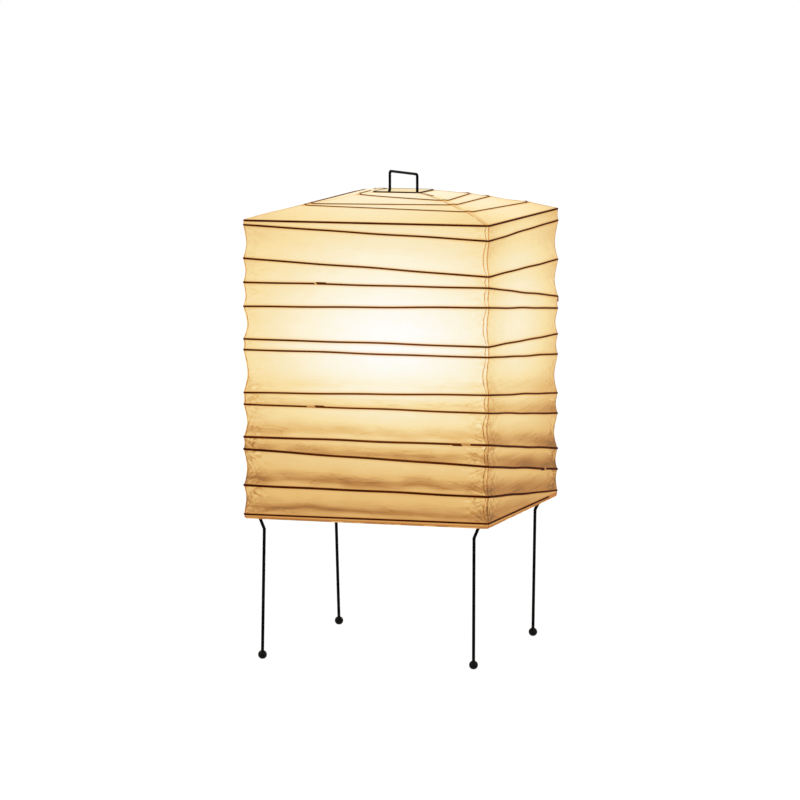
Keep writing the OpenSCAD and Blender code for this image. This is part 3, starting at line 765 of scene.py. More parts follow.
class Grower:
    """Geometry Nodes trees that grow pieces from paths and points, each built once."""

    @staticmethod
    def start(name: str, inputs: dict[str, Any]) -> tuple[NodeTree, dict[str, Flow]]:
        """Make a geometry tree with named inputs.

        Args:
            name: the tree's name.
            inputs: the first value of each input besides the geometry and the material.

        Returns:
            The tree, and a flow from each of its inputs by name.
        """
        kinds = {float: "NodeSocketFloat", int: "NodeSocketInt"}
        tree = bpy.data.node_groups.new(name, "GeometryNodeTree")
        tree.interface.new_socket("Geometry", in_out="INPUT", socket_type="NodeSocketGeometry")
        for key, value in inputs.items():
            socket = tree.interface.new_socket(key, in_out="INPUT", socket_type=kinds[type(value)])
            socket.default_value = value
        tree.interface.new_socket("Material", in_out="INPUT", socket_type="NodeSocketMaterial")
        tree.interface.new_socket("Geometry", in_out="OUTPUT", socket_type="NodeSocketGeometry")
        given = tree.nodes.new("NodeGroupInput")
        return tree, {key: Flow(tree, given, key) for key in ("Geometry", *inputs, "Material")}

    @staticmethod
    def end(shape: Flow, material: Flow) -> NodeTree:
        """Close a tree.

        Args:
            shape: what has grown.
            material: its material.

        Returns:
            The tree, which gives real geometry with smooth faces and the material.
        """
        for kind in ("GeometryNodeRealizeInstances", "GeometryNodeSetShadeSmooth"):
            shape = add(shape.tree, kind, {0: shape})
        shape = add(shape.tree, "GeometryNodeSetMaterial", {"Geometry": shape, "Material": material})
        return add(shape.tree, "NodeGroupOutput", {0: shape}).tree

    @cached_property
    def cane(self) -> NodeTree:
        """A round cane or wire along a path, its thickness a little uneven.

        Returns:
            The tree.
        """
        tree, given = self.start("cane along a path", {
            "Thickness": 0.0016, "Sides": 10, "Unevenness": 0.1, "Lump length": 0.02, "Seed": 1.0,
        })
        line = add(tree, "GeometryNodeMeshToCurve", {0: given["Geometry"]})
        waves = {"Scale": 1.0 / given["Lump length"], "Detail": 1.0, "W": given["Seed"]}
        spot = add(tree, "GeometryNodeInputPosition")
        lumps = add(tree, "ShaderNodeTexNoise", {"Vector": spot, **waves}, "Fac", noise_dimensions="4D")
        girth = add(tree, "GeometryNodeInputNamedAttribute", {"Name": "girth"}, data_type="FLOAT")
        radius = ((lumps - 0.5) * given["Unevenness"] + 1.0) * girth
        line = add(tree, "GeometryNodeSetCurveRadius", {"Curve": line, "Radius": radius})
        size = {"Resolution": given["Sides"], "Radius": given["Thickness"] * 0.5}
        ring = add(tree, "GeometryNodeCurvePrimitiveCircle", size)
        tube = add(tree, "GeometryNodeCurveToMesh", {"Curve": line, "Profile Curve": ring, "Fill Caps": True})
        if "Scale" in tube.node.inputs:
            tree.links.new(add(tree, "GeometryNodeInputRadius").socket, tube.node.inputs["Scale"])
        return self.end(tube, given["Material"])

    @cached_property
    def beads(self) -> NodeTree:
        """Small lumps of weld on points, each turned and sized at random from one seed.

        Returns:
            The tree.
        """
        tree, given = self.start("weld beads on points", {"Size": 0.003, "Seed": 4})
        lump = add(tree, "GeometryNodeMeshIcoSphere", {"Radius": given["Size"] * 0.5, "Subdivisions": 3})
        waves = {"Vector": add(tree, "GeometryNodeInputPosition"), "Scale": 900.0, "Detail": 1.0}
        rough = add(tree, "ShaderNodeTexNoise", waves, "Fac")
        push = {0: add(tree, "GeometryNodeInputNormal"), "Scale": (rough - 0.5) * (given["Size"] * 0.35)}
        push = add(tree, "ShaderNodeVectorMath", push, operation="SCALE")
        lump = add(tree, "GeometryNodeSetPosition", {"Geometry": lump, "Offset": push})
        ends = (((0.0,) * 3, (math.tau,) * 3), ((0.85, 0.75, 0.65), (1.2, 1.05, 0.9)))
        turn, grow = (
            add(
                tree, "FunctionNodeRandomValue", {0: low, 1: high, "Seed": given["Seed"]},
                data_type="FLOAT_VECTOR",
            )
            for low, high in ends
        )
        turn = add(tree, "FunctionNodeEulerToRotation", {0: turn})
        feeds = {"Points": given["Geometry"], "Instance": lump, "Rotation": turn, "Scale": grow}
        return self.end(add(tree, "GeometryNodeInstanceOnPoints", feeds), given["Material"])

    @cached_property
    def thread(self) -> NodeTree:
        """A screw thread: a low ridge that winds up round the Z axis from a single point.

        Returns:
            The tree.
        """
        sizes = {"Radius": 0.005, "Height": 0.01, "Turns": 8.0, "Ridge": 0.0006}
        tree, given = self.start("screw thread", sizes)
        helix = add(tree, "GeometryNodeCurveSpiral", {
            "Resolution": 40, "Rotations": given["Turns"], "Start Radius": given["Radius"],
            "End Radius": given["Radius"], "Height": given["Height"],
        })
        size = {"Resolution": 8, "Radius": given["Ridge"] * 0.5}
        ring = add(tree, "GeometryNodeCurvePrimitiveCircle", size)
        ridge = {"Curve": helix, "Profile Curve": ring, "Fill Caps": True}
        feeds = {"Points": given["Geometry"], "Instance": add(tree, "GeometryNodeCurveToMesh", ridge)}
        return self.end(add(tree, "GeometryNodeInstanceOnPoints", feeds), given["Material"])

    def along(
        self, name: str, runs: list[Array], closed: bool,
        girth: Callable[[Array], Array] | None, **values: Any,
    ) -> Object:
        """Grow canes or wire along some paths.

        Args:
            name: the piece's name.
            runs: the points of each path, in millimetres.
            closed: whether each path closes on itself.
            girth: gives the cane's relative thickness at each point; none means even.
            **values: as grow has them.

        Returns:
            The piece.
        """
        spots, edges, girths = [], [], []
        for run in runs:
            first = len(spots)
            girths += (girth(run) if girth else np.ones(len(run))).tolist()
            spots += (run * MM).tolist()
            edges += [(first + i, first + i + 1) for i in range(len(run) - 1)]
            edges += [(len(spots) - 1, first)] * closed
        mesh = bpy.data.meshes.new(name)
        mesh.from_pydata(spots, edges, [])
        mesh.attributes.new("girth", "FLOAT", "POINT").data.foreach_set("value", girths)
        return self.grow(placed(name, mesh), self.cane, Lump_length=0.03, **values)

    @staticmethod
    def grow(seedling: Object, tree: NodeTree, **values: Any) -> Object:
        """Run a tree on a path or points and keep the result as a plain mesh.

        Args:
            seedling: the object with the path or points; it becomes the piece.
            tree: the geometry tree.
            **values: values of the tree's named inputs, with a low line for a space.

        Returns:
            The same object, with its mesh grown and no modifier left.
        """
        modifier = seedling.modifiers.new("grow", "NODES")
        modifier.node_group = tree
        names = {s.name: s.identifier for s in tree.interface.items_tree if s.in_out == "INPUT"}
        for key, value in values.items():
            modifier[names[key.replace("_", " ")]] = value
        seedling.update_tag()
        bpy.context.view_layer.update()
        graph = bpy.context.evaluated_depsgraph_get()
        grown = bpy.data.meshes.new_from_object(seedling.evaluated_get(graph))
        bare = seedling.data
        seedling.modifiers.remove(modifier)
        seedling.data = grown
        grown.name = seedling.name
        bpy.data.meshes.remove(bare)
        return seedling


# --------------------------------------------------------------------------- the shade's form


def run_ends(steps: Array, j: int) -> tuple[float, float]:
    """Where a rib's run j starts and ends, from the steps at the corners that it rounds."""
    return steps[max(j, 0)], steps[min(max(j + 1, 0), len(steps) - 1)]


def smooth_noise(x: Array, seed: int, waves: int = 7) -> Array:
    """A smooth wavering between about -1 and 1, from a few sine waves drawn from a seed.

    Args:
        x: the places.
        seed: the seed.
        waves: how many waves.

    Returns:
        The value at each place.
    """
    rng = np.random.default_rng(seed)
    total = np.zeros_like(np.asarray(x, float))
    for i in range(waves):
        beat = x * (0.6 + 0.75 * i) * rng.uniform(0.85, 1.15)
        total += math.exp(-i * 0.25) * np.sin(beat + rng.uniform(0, math.tau))
    return total / 2.2


def eased(share: Array) -> Array:
    """Ease from 0 to 1 as the share does."""
    share = np.clip(share, 0, 1)
    return share * share * (3 - 2 * share)


@dataclass
class ShadeForm:
    """The form that paper, ribs and hem share, in millimetres.

    Depths are measured down from the eave, and s along a side from its left corner, seen from
    outside. A negative s lies on the neighbour's wall, where a sheet laps over it.
    """

    half: float
    eave: float
    roof: float
    open_half: float
    low: float
    paper: float = 0.3
    fuller: float = 0.8
    ring_proud: float = 1.45
    rib: float = 2.05
    proud: float = 0.8
    hem_wire: float = 2.5
    edge_bend: float = 4.0
    rib_corner: float = 2.4
    corner_fade: float = 9.0
    lap: float = 5.6
    lap_out: float = 0.35
    # How far up from the paper's lower edge the painted shadow of the hem's wire lies
    hem_shadow_height: float = 2.1
    rib_top: float = 3.5
    rib_low: float = 327.0
    draw_ratio: float = 0.1
    draw_max: float = 3.0
    draw_mid: float = 0.7
    flat_band: float = 8.0
    bow_hip_bulge: float = 5.2
    side_hip_bulge: float = 2.4

    @classmethod
    def from_frame(cls) -> "ShadeForm":
        """Read the shade's main sizes from the frame's boxes.

        Returns:
            The form.
        """
        front, hem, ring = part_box("roof_front"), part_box("hem_front"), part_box("top_ring")
        return cls(
            half=-front[0].y / MM + cls.fuller,
            eave=front[0].z / MM + cls.paper,
            roof=ring[1].z / MM - cls.ring_proud,
            open_half=ring[1].x / MM,
            low=hem[0].z / MM,
        )

    @property
    def height(self) -> float:
        """Height of the walls."""
        return self.eave - self.low

    @cached_property
    def steps(self) -> Array:
        """Depth of the wall rib at each corner that it rounds, in order."""
        return self.rib_top + (self.rib_low - self.rib_top) * np.array(sum(WALL_TURNS, ())) / 100

    def rib_depth(self, j: int, u: Array) -> Array:
        """Depth of the rib's run from corner j to the next.

        Args:
            j: number of the corner, counted along the whole rib.
            u: places along the side, from -1 to 1.

        Returns:
            The depths.
        """
        first, last = run_ends(self.steps, j)
        sway = 0.30 * np.sin(2.1 * j + 3.3 * u) + 0.22 * np.sin(5.7 * j + 8.1 * u + 1.0)
        return first + (last - first) * (u + 1) / 2 + (1 - u**2) * sway * (0 < j < len(self.steps) - 3)

    def lines(self, side: Side) -> list[int | float]:
        """The lines that a wall's bands lie between: a rib's run by number, or an edge by depth."""
        runs = range((side.value + 1) % 4, len(self.steps) - 1, 4)
        return [self.paper + 0.1, *runs, self.height - self.hem_wire / 2 - 0.5]

    def line_depth(self, line: int | float, u: Array, own: Array) -> Array:
        """Depth of a wall's line, on the wall itself or on the neighbour that it laps over.

        Args:
            line: the number of a rib's run, or a depth.
            u: places along the side, from -1 to 1.
            own: which of them are on the wall itself.

        Returns:
            The depths.
        """
        if isinstance(line, float):
            return np.full_like(u, line)
        return np.where(own, self.rib_depth(line, u), self.rib_depth(line - 1, u))

    def drawn(self, tall: Array, t: float) -> Array:
        """How far paper draws in between two ribs.

        Args:
            tall: height of the band between them, at each place.
            t: share of the band above the places.

        Returns:
            The depths of the hollow.
        """
        most = np.minimum(self.draw_max, self.draw_ratio * np.maximum(0, tall - self.flat_band))
        crease = np.minimum(t / 0.55, (1 - t) / 0.45)
        return most * (0.75 * math.sin(math.pi * t**1.15) + 0.25 * crease)

    def corner_radius(self, depth: Array) -> Array:
        """Outer radius of the shade's upright corners at a depth."""
        ends = sum(np.exp(-np.maximum(gap, 0) / self.corner_fade) for gap in (depth, self.height - depth))
        return self.rib_corner + (self.edge_bend - self.rib_corner) * np.minimum(ends, 1)

    def plan(
        self, side: Side, s: Array, half: Any, radius: Any, out: Any = 0.0,
        inset: Any = 0.0, corners: tuple[Any, Any] = (0.0, 0.0),
    ) -> tuple[Array, Array]:
        """Place points round a square with rounded corners, seen from above.

        Args:
            side: the side to which s belongs.
            s: places along the side from its left corner.
            half: half the square's width.
            radius: radius of the corners.
            out: how far outside the paper the points lie.
            inset: how far the paper is drawn in at each place.
            corners: the same at the left and the right corner.

        Returns:
            The x and y of the points.
        """
        s, radius = np.broadcast_arrays(np.asarray(s, float), np.asarray(radius, float))
        mirrored = s >= half
        along = np.where(mirrored, 2 * half - s, s)
        angle = np.radians(45 * np.clip(1 - along / radius, 0, 2))
        reach = half - np.where(mirrored, corners[1], corners[0])
        straight = -reach + radius + (along - radius) * (reach - radius) / (half - radius)
        front = radius * (1 - np.cos(angle)) - (half - inset)
        round_x = radius * (1 - np.sin(angle))
        lapped = along < 0
        x = np.where(lapped, round_x - (half - inset), np.where(along > radius, straight, round_x - reach))
        y = np.where(lapped, radius * (1 - np.cos(angle)) - reach, front)
        y = np.where(along < -radius, -reach - along, y)
        x, y = x - out * np.sin(angle), y - out * np.cos(angle)
        x = np.where(mirrored, -x, x)
        turn = math.radians(90 * side.value)
        return x * math.cos(turn) - y * math.sin(turn), x * math.sin(turn) + y * math.cos(turn)

    def around(self, s: Array, half: float, radius: float, z: float, out: float = 0.0) -> Array:
        """Points round all four sides at one height, placed as plan does."""
        return np.concatenate([points(*self.plan(side, s, half, radius, out), z) for side in Side])


def fans(
    run: Array, tall: Array, t: float, number: Array,
    apart: float, short: float, fade: float, far: float = 0.0,
) -> dict[str, Array]:
    """Places round the corners of a band, for the painted light and shade of the pleats that fan out from
    them.

    Args:
        run: distance along the sheet from the nearest corner.
        tall: height of the band.
        t: share of it above these places.
        number: number of the corner.
        apart: what the lower corners add to the number.
        short: height under which a band has weaker pleats.
        fade: how quickly they weaken.
        far: how much further off the corners count.

    Returns:
        The angle, the distance and the number, from the upper and from the lower corners.
    """
    made = {}
    for key, drop, step in (("fan_up", tall * t, 0.0), ("fan_low", tall * (1 - t), apart)):
        away = np.hypot(run, drop) + far + np.clip(short - tall, 0, short) * fade
        made[key] = points(np.arctan2(drop, run + 2.0), away, number + step)
    return made


@dataclass(frozen=True)
class FoldShades:
    """Where each band of a wall has the painted shade of its fold: where, how wide, how sharply below, and how
    far it stretches.

    at is a share of the band's height, width is in millimetres, and strengths go from the top
    band down.
    """

    at: float = 0.77
    width: float = 8.2
    sharp: float = 2.0
    stretch: float = 1.0
    strengths: tuple[float, ...] = (1, 1, 1, 1, 1, 1, 1.3, 1.7, 1.25, 1.5, 1.25, 1.0, 1)

    def at_place(self, s: Array, t: float, tall: Array, band: int, seed: int) -> Array:
        """How much painted fold shade a band has.

        Args:
            s: places along the wall.
            t: share of the band's height.
            tall: that height at each place.
            band: number of the band.
            seed: its seed.

        Returns:
            The painted fold shade at each place.
        """
        sway = 0.06 * smooth_noise(s / (34 * self.stretch), seed + 3)
        off = (t - self.at - sway) * tall / np.minimum(self.width, 0.55 * np.maximum(tall, 4))
        off = np.where(off < 0, off * 0.9, off * self.sharp)
        uneven = 0.84 + 0.16 * smooth_noise(s / (22 * self.stretch), seed + 11)
        strength = self.strengths[min(band, len(self.strengths) - 1)]
        return np.exp(-(off**2)) * np.clip((tall - 5) / 10, 0, 1) * uneven * strength


SIDE_FOLD_SHADES = {
    Side.FRONT: FoldShades(),
    Side.RIGHT: FoldShades(0.78, 10.5, 1.2, 2.8, (1, 1, 1, 1, 1, 1, 1.2, 1.35, 1.2, 1.15, 1.0, 0.7, 0.5)),
    Side.BACK: FoldShades(),
    Side.LEFT: FoldShades(stretch=2.0),
}


@dataclass
class PaperWalls:
    """The four walls, each a single sheet pasted over the rib and lapped round one corner."""

    form: ShadeForm
    row_step: float = 2.1
    column_step: float = 2.6
    pleat: float = 0.42
    pleat_reach: float = 26.0
    ripple: float = 0.22
    calm: float = 5.6
    calm_low: float = 28.0
    swell: float = 1.3
    paste_width: float = 1.5
    lap_share: float = 0.84
    lap_waver: float = 0.14
    lap_over: float = 4.0
    pinch: float = 0.45
    # How far each band is drawn in at the front left corner, from the top down
    corner_draw: tuple[float, ...] = (1, 0.6, 0.75, 0.65, 1.15, 1, 1.1, 1, 0.95, 0.6, 0.6, 0.65, 0.5)
    # The painted shade of the long crease low in the front wall: places along it, shares of the
    # band, and strengths
    long_crease: tuple[tuple[float, ...], ...] = (
        (17, 36, 73, 123, 200, 280), (0.95, 0.77, 0.68, 0.76, 0.78, 0.84), (0.4, 1, 1, 0.9, 0.5, 0.4),
    )

    @cached_property
    def columns(self) -> Array:
        """Places of the grid's columns along a wall.

        Returns:
            The places, with those on the flap first.
        """
        near = np.array([0, 0.9, 1.8, 2.7, 3.6, 4.8, 6.0, 7.8])
        flap = -np.array([1.0, 0.82, 0.66, 0.5, 0.34, 0.18]) * self.form.lap
        width = 2 * self.form.half
        middle = np.linspace(10, width - 10, int((width - 20) / self.column_step))
        return np.concatenate([flap, near, middle, width - near[::-1]])

    def pleats(self, s: Array, down: Array, tall: Array, seed: int) -> Array:
        """Height of the pleats that fan out from where a band's ribs round the corners.

        Args:
            s: places along the wall.
            down: distance down from the band's upper rib.
            tall: height of the band at each place.
            seed: seed of the band.

        Returns:
            The pleats' height, outwards, at each place.
        """
        rng = np.random.default_rng(seed)
        total = np.zeros_like(s)
        for run in (np.maximum(s, 0), np.maximum(2 * self.form.half - s, 0)):
            for drop in (down, tall - down):
                angle = np.arctan2(np.maximum(drop, 0), run + 1.5)
                away = np.hypot(run, drop)
                fan = np.sin(angle * rng.uniform(7, 13) + rng.uniform(0, math.tau))
                fan += 0.6 * np.sin(angle * rng.uniform(15, 24) + rng.uniform(0, math.tau) + away * 0.05)
                total += fan * np.exp(-away / (self.pleat_reach * rng.uniform(0.6, 1.4))) * away / (away + 5)
        return total * self.pleat

    def sheet(self, side: Side, paper: Material) -> Object:
        """Make one wall.

        Args:
            side: which wall.
            paper: its material.

        Returns:
            The wall.
        """
        form, s, made, folds = self.form, self.columns, Sheet(), SIDE_FOLD_SHADES[side]
        own, from_corner = s >= 0, np.minimum(s, 2 * form.half - s)
        u = np.where(own, s / form.half - 1, s / form.half + 1)
        ends, both = np.array([-1.0, 1.0]), np.array([True, True])
        turned = np.clip(1 - s / self.lap_over, 0, 1)
        lines = form.lines(side)
        for band, (top, low) in enumerate(zip(lines, lines[1:])):
            upper = form.line_depth(top, u, own)
            tall = form.line_depth(low, u, own) - upper
            corner_tall = form.line_depth(low, ends, both) - form.line_depth(top, ends, both)
            count = int(np.clip(round(max(tall.max(), corner_tall.max()) / self.row_step), 2, 24))
            share = self.corner_draw[min(band, len(self.corner_draw) - 1)]
            near_a = np.where([side is Side.FRONT, side is Side.LEFT], share, 1.0)
            roomy = np.clip((tall - 4) / 18, 0, 1)
            seed = 100 * side.value + band
            for t in np.arange(count + (band == len(lines) - 2)) / count:
                depth = upper + tall * t
                # The lowest paper lies flatter, clear of the hem's wire when folded up
                tame = np.clip((form.height - depth) / self.calm_low, 0.15, 1)
                inset = form.drawn(tall, t) * (form.draw_mid + (1 - form.draw_mid) * u**4) * tame
                corners = form.drawn(corner_tall, t) * near_a * tame[[0, -1]]
                swell = self.swell * math.sin(math.pi * t) * np.clip(tall / 30, 0, 1)
                bumps = self.pleats(s, tall * t, tall, seed)
                waves = s / (9 * folds.stretch**1.4) + 3 * t
                bumps += self.ripple / folds.stretch * smooth_noise(waves, seed + 7)
                bumps *= roomy * (math.sin(math.pi * t) ** 0.6 if 0 < t < 1 else 0.0)
                bumps *= np.clip((from_corner - self.calm) / 6, 0, 1) * tame
                lap_wave = 1 + self.lap_waver * smooth_noise(depth[0] / 5.0, 31 + side.value)
                lap_wave *= self.lap_share * (self.pinch + (1 - self.pinch) * math.sin(math.pi * t) ** 0.7)
                place = np.where(own, s, s * lap_wave)
                radius, out = form.corner_radius(depth) + swell, bumps + turned * form.lap_out
                outer, inner = (
                    points(
                        *form.plan(side, place, form.half, radius, out - thin, inset, corners),
                        form.eave - depth,
                    )
                    for thin in (0.0, form.paper)
                )
                from_rib = np.minimum(t, 1 - t) * tall
                # folded is the painted shade of the band's fold, and low in the front wall also that of the
                # long crease
                folded = folds.at_place(s, t, tall, band, seed)
                if side is Side.FRONT and band == len(lines) - 3:
                    places, shares, depths = self.long_crease
                    off_line = (t - np.interp(s, places, shares)) * tall
                    off_line = np.where(off_line < 0, off_line / 3.4, off_line / 1.4)
                    folded = 0.7 * folded + 0.75 * np.interp(s, places, depths) * np.exp(-(off_line**2))
                made.row(
                    outer, inner, fold=folded, paste=np.exp(-((from_rib / self.paste_width) ** 2)),
                    sheet=points(s, depth, 50.0 * side.value),
                    **fans(np.abs(from_corner), tall, t, seed + 3.7 * (s > form.half), 1.9, short=9, fade=6),
                )
        return made.build(f"paper_wall_{side.name.lower()}", paper)


@dataclass
class PaperRoof:
    """The four shallow slopes of the roof, each lapped over its neighbour along one hip."""

    form: ShadeForm
    row_step: float = 2.2
    columns_own: int = 84
    sag: float = 0.8
    sag_waver: float = 0.35
    lap: float = 5.0
    lap_over: float = 3.0
    hip_bend: float = 2.0
    paste_width: float = 1.6

    @cached_property
    def steps(self) -> Array:
        """Share of the way from opening to eave at each corner that the roof rib rounds."""
        return np.array(sum(ROOF_TURNS, ())) / 100

    def rib_share(self, j: int, u: Array) -> Array:
        """Share of the way out that the rib's run j has reached at u along its side."""
        first, last = run_ends(self.steps, j)
        return first + (last - first) * (u + 1) / 2

    def height(self, side: Side, u: Array, f: Array) -> Array:
        """Height of the roof's upper face.

        Args:
            side: the slope's side.
            u: places along the side, from -1 to 1.
            f: share of the way from the opening to the eave.

        Returns:
            The heights.
        """
        form, (first, other) = self.form, (self.form.side_hip_bulge, self.form.bow_hip_bulge)
        if side.value % 2:
            first, other = other, first
        bulge = first + (other - first) * (u + 1) / 2
        slope = (form.roof - form.eave) * np.maximum(f, 0)
        return form.roof - slope + (1 - (2 * np.clip(f, 0, 1) - 1) ** 4) * bulge

    def half_width(self, f: Array) -> Array:
        """Half the width of the roof's square at a share of the way out."""
        return self.form.open_half + (self.form.half - self.form.open_half) * f

    def sheet(self, side: Side, paper: Material) -> Object:
        """Make one slope.

        Args:
            side: which slope.
            paper: its material.

        Returns:
            The slope.
        """
        form, made, rim = self.form, Sheet(), np.array([0.95, 0.97, 0.985, 1])
        own_u = np.concatenate([-rim[::-1], np.linspace(-0.92, 0.92, self.columns_own), rim])
        flap = -np.array([1.0, 0.75, 0.5, 0.25]) * self.lap
        off_flap = np.concatenate([flap, np.zeros(len(own_u))])
        own = off_flap == 0
        before = Side((side.value + 3) % 4)
        run_f = form.half - form.open_half
        lines: list[int | float] = [0.0, *range((side.value + 1) % 4, len(self.steps) - 1, 4), 1.0]

        def share(line: int | float, u: Array) -> Array:
            """Where a line lies on this slope and on the one before it.

            Args:
                line: the number of a rib's run, or a share of the way out.
                u: places along the side.

            Returns:
                The share of the way out at each place.
            """
            if isinstance(line, float):
                return np.full_like(u, line)
            return np.where(own, self.rib_share(line, u), self.rib_share(line - 1, u))

        for band, (top, low) in enumerate(zip(lines, lines[1:])):
            guess = self.half_width(share(top, np.where(own, 0.0, 1.0)))
            u = np.concatenate([1 + flap / guess[0], own_u])
            upper, lower = share(top, u), share(low, u)
            tall = (lower - upper) * run_f
            count = int(np.clip(round(tall.max() / self.row_step), 1, 24))
            number = 700.0 + 9 * band + 3.7 * (u > 0)
            for t in np.arange(count + (band == len(lines) - 2)) / count:
                f = upper + (lower - upper) * t
                w = self.half_width(f)
                s = np.where(own, (u + 1) * w, off_flap)
                height = np.where(own, self.height(side, u, f), self.height(before, u, f))
                sag = self.sag * math.sin(math.pi * t) * np.clip((tall - 6) / 20, 0, 1)
                sag *= 1 + self.sag_waver * smooth_noise(u * 4 + 2 * t, 500 + 10 * side.value + band)
                z = height - sag + np.clip(1 - s / self.lap_over, 0, 1) * form.lap_out
                radius = self.hip_bend + (form.edge_bend - self.hip_bend) * np.clip(f, 0, 1) ** 3
                x, y = form.plan(side, s, w, radius)
                from_rib = np.minimum(t, 1 - t) * tall
                made.row(
                    points(x, y, z), points(x, y, z - form.paper), fold=np.zeros_like(s),
                    paste=np.exp(-((from_rib / self.paste_width) ** 2)),
                    sheet=points(s, f * run_f, 400.0 + 50.0 * side.value),
                    **fans(np.abs(np.minimum(s, 2 * w - s)), tall, t, number, 0.0, short=14, fade=3, far=14),
                )
        return made.build(f"paper_roof_{side.name.lower()}", paper)


@dataclass
class Hem:
    """Paper turned in under the hem wire and up behind it, one strip a side, leaning in."""

    form: ShadeForm
    wire_z: float = 160.65
    wrap: float = 1.65
    wrap_in: float = 2.05
    clear: float = 0.1
    flap: tuple[tuple[float, float], ...] = ((0.35, 163.0), (0.8, 165.5), (1.4, 168.0))

    def profile(self, thin: float) -> list[tuple[float, float]]:
        """How far in and how high one face of the strip lies, from the outside round the wire.

        Args:
            thin: the paper's thickness for the inner face, or nothing for the outer one.

        Returns:
            The profile's points.
        """
        middle = self.wrap_in + self.clear
        around = [
            (middle - (self.wrap_in - thin) * math.cos(a), self.wire_z - (self.wrap - thin) * math.sin(a))
            for a in np.radians(np.arange(0, 181, 20))
        ]
        return around + [(middle + self.wrap_in + lean - thin, z) for lean, z in self.flap]

    def sheet(self, side: Side, paper: Material) -> Object:
        """Make one strip.

        Args:
            side: which side's.
            paper: its material.

        Returns:
            The strip.
        """
        form, made, width = self.form, Sheet(), 2 * self.form.half
        near = np.array([0, 1.2, 2.4, 3.6, 4.8, 6.0])
        s = np.concatenate([near, np.linspace(10, width - 10, 70), width - near[::-1]])
        for faces in zip(self.profile(0.0), self.profile(form.paper)):
            back, z = faces[0]
            wave = 0.5 * smooth_noise(s / 12, 900 + side.value) if z == self.flap[-1][1] else 0.0
            rows = []
            for depth_in, level in faces:
                around = form.half - depth_in
                bend = max(form.edge_bend - depth_in, 0.8)
                rows.append(points(*form.plan(side, s * around / form.half, around, bend), level + wave))
            made.row(
                *rows, fold=np.zeros_like(s), paste=np.full_like(s, 0.12),
                sheet=points(s, 340 - z + back, 700.0 + 50 * side.value),
            )
        return made.build(f"paper_hem_{side.name.lower()}", paper)


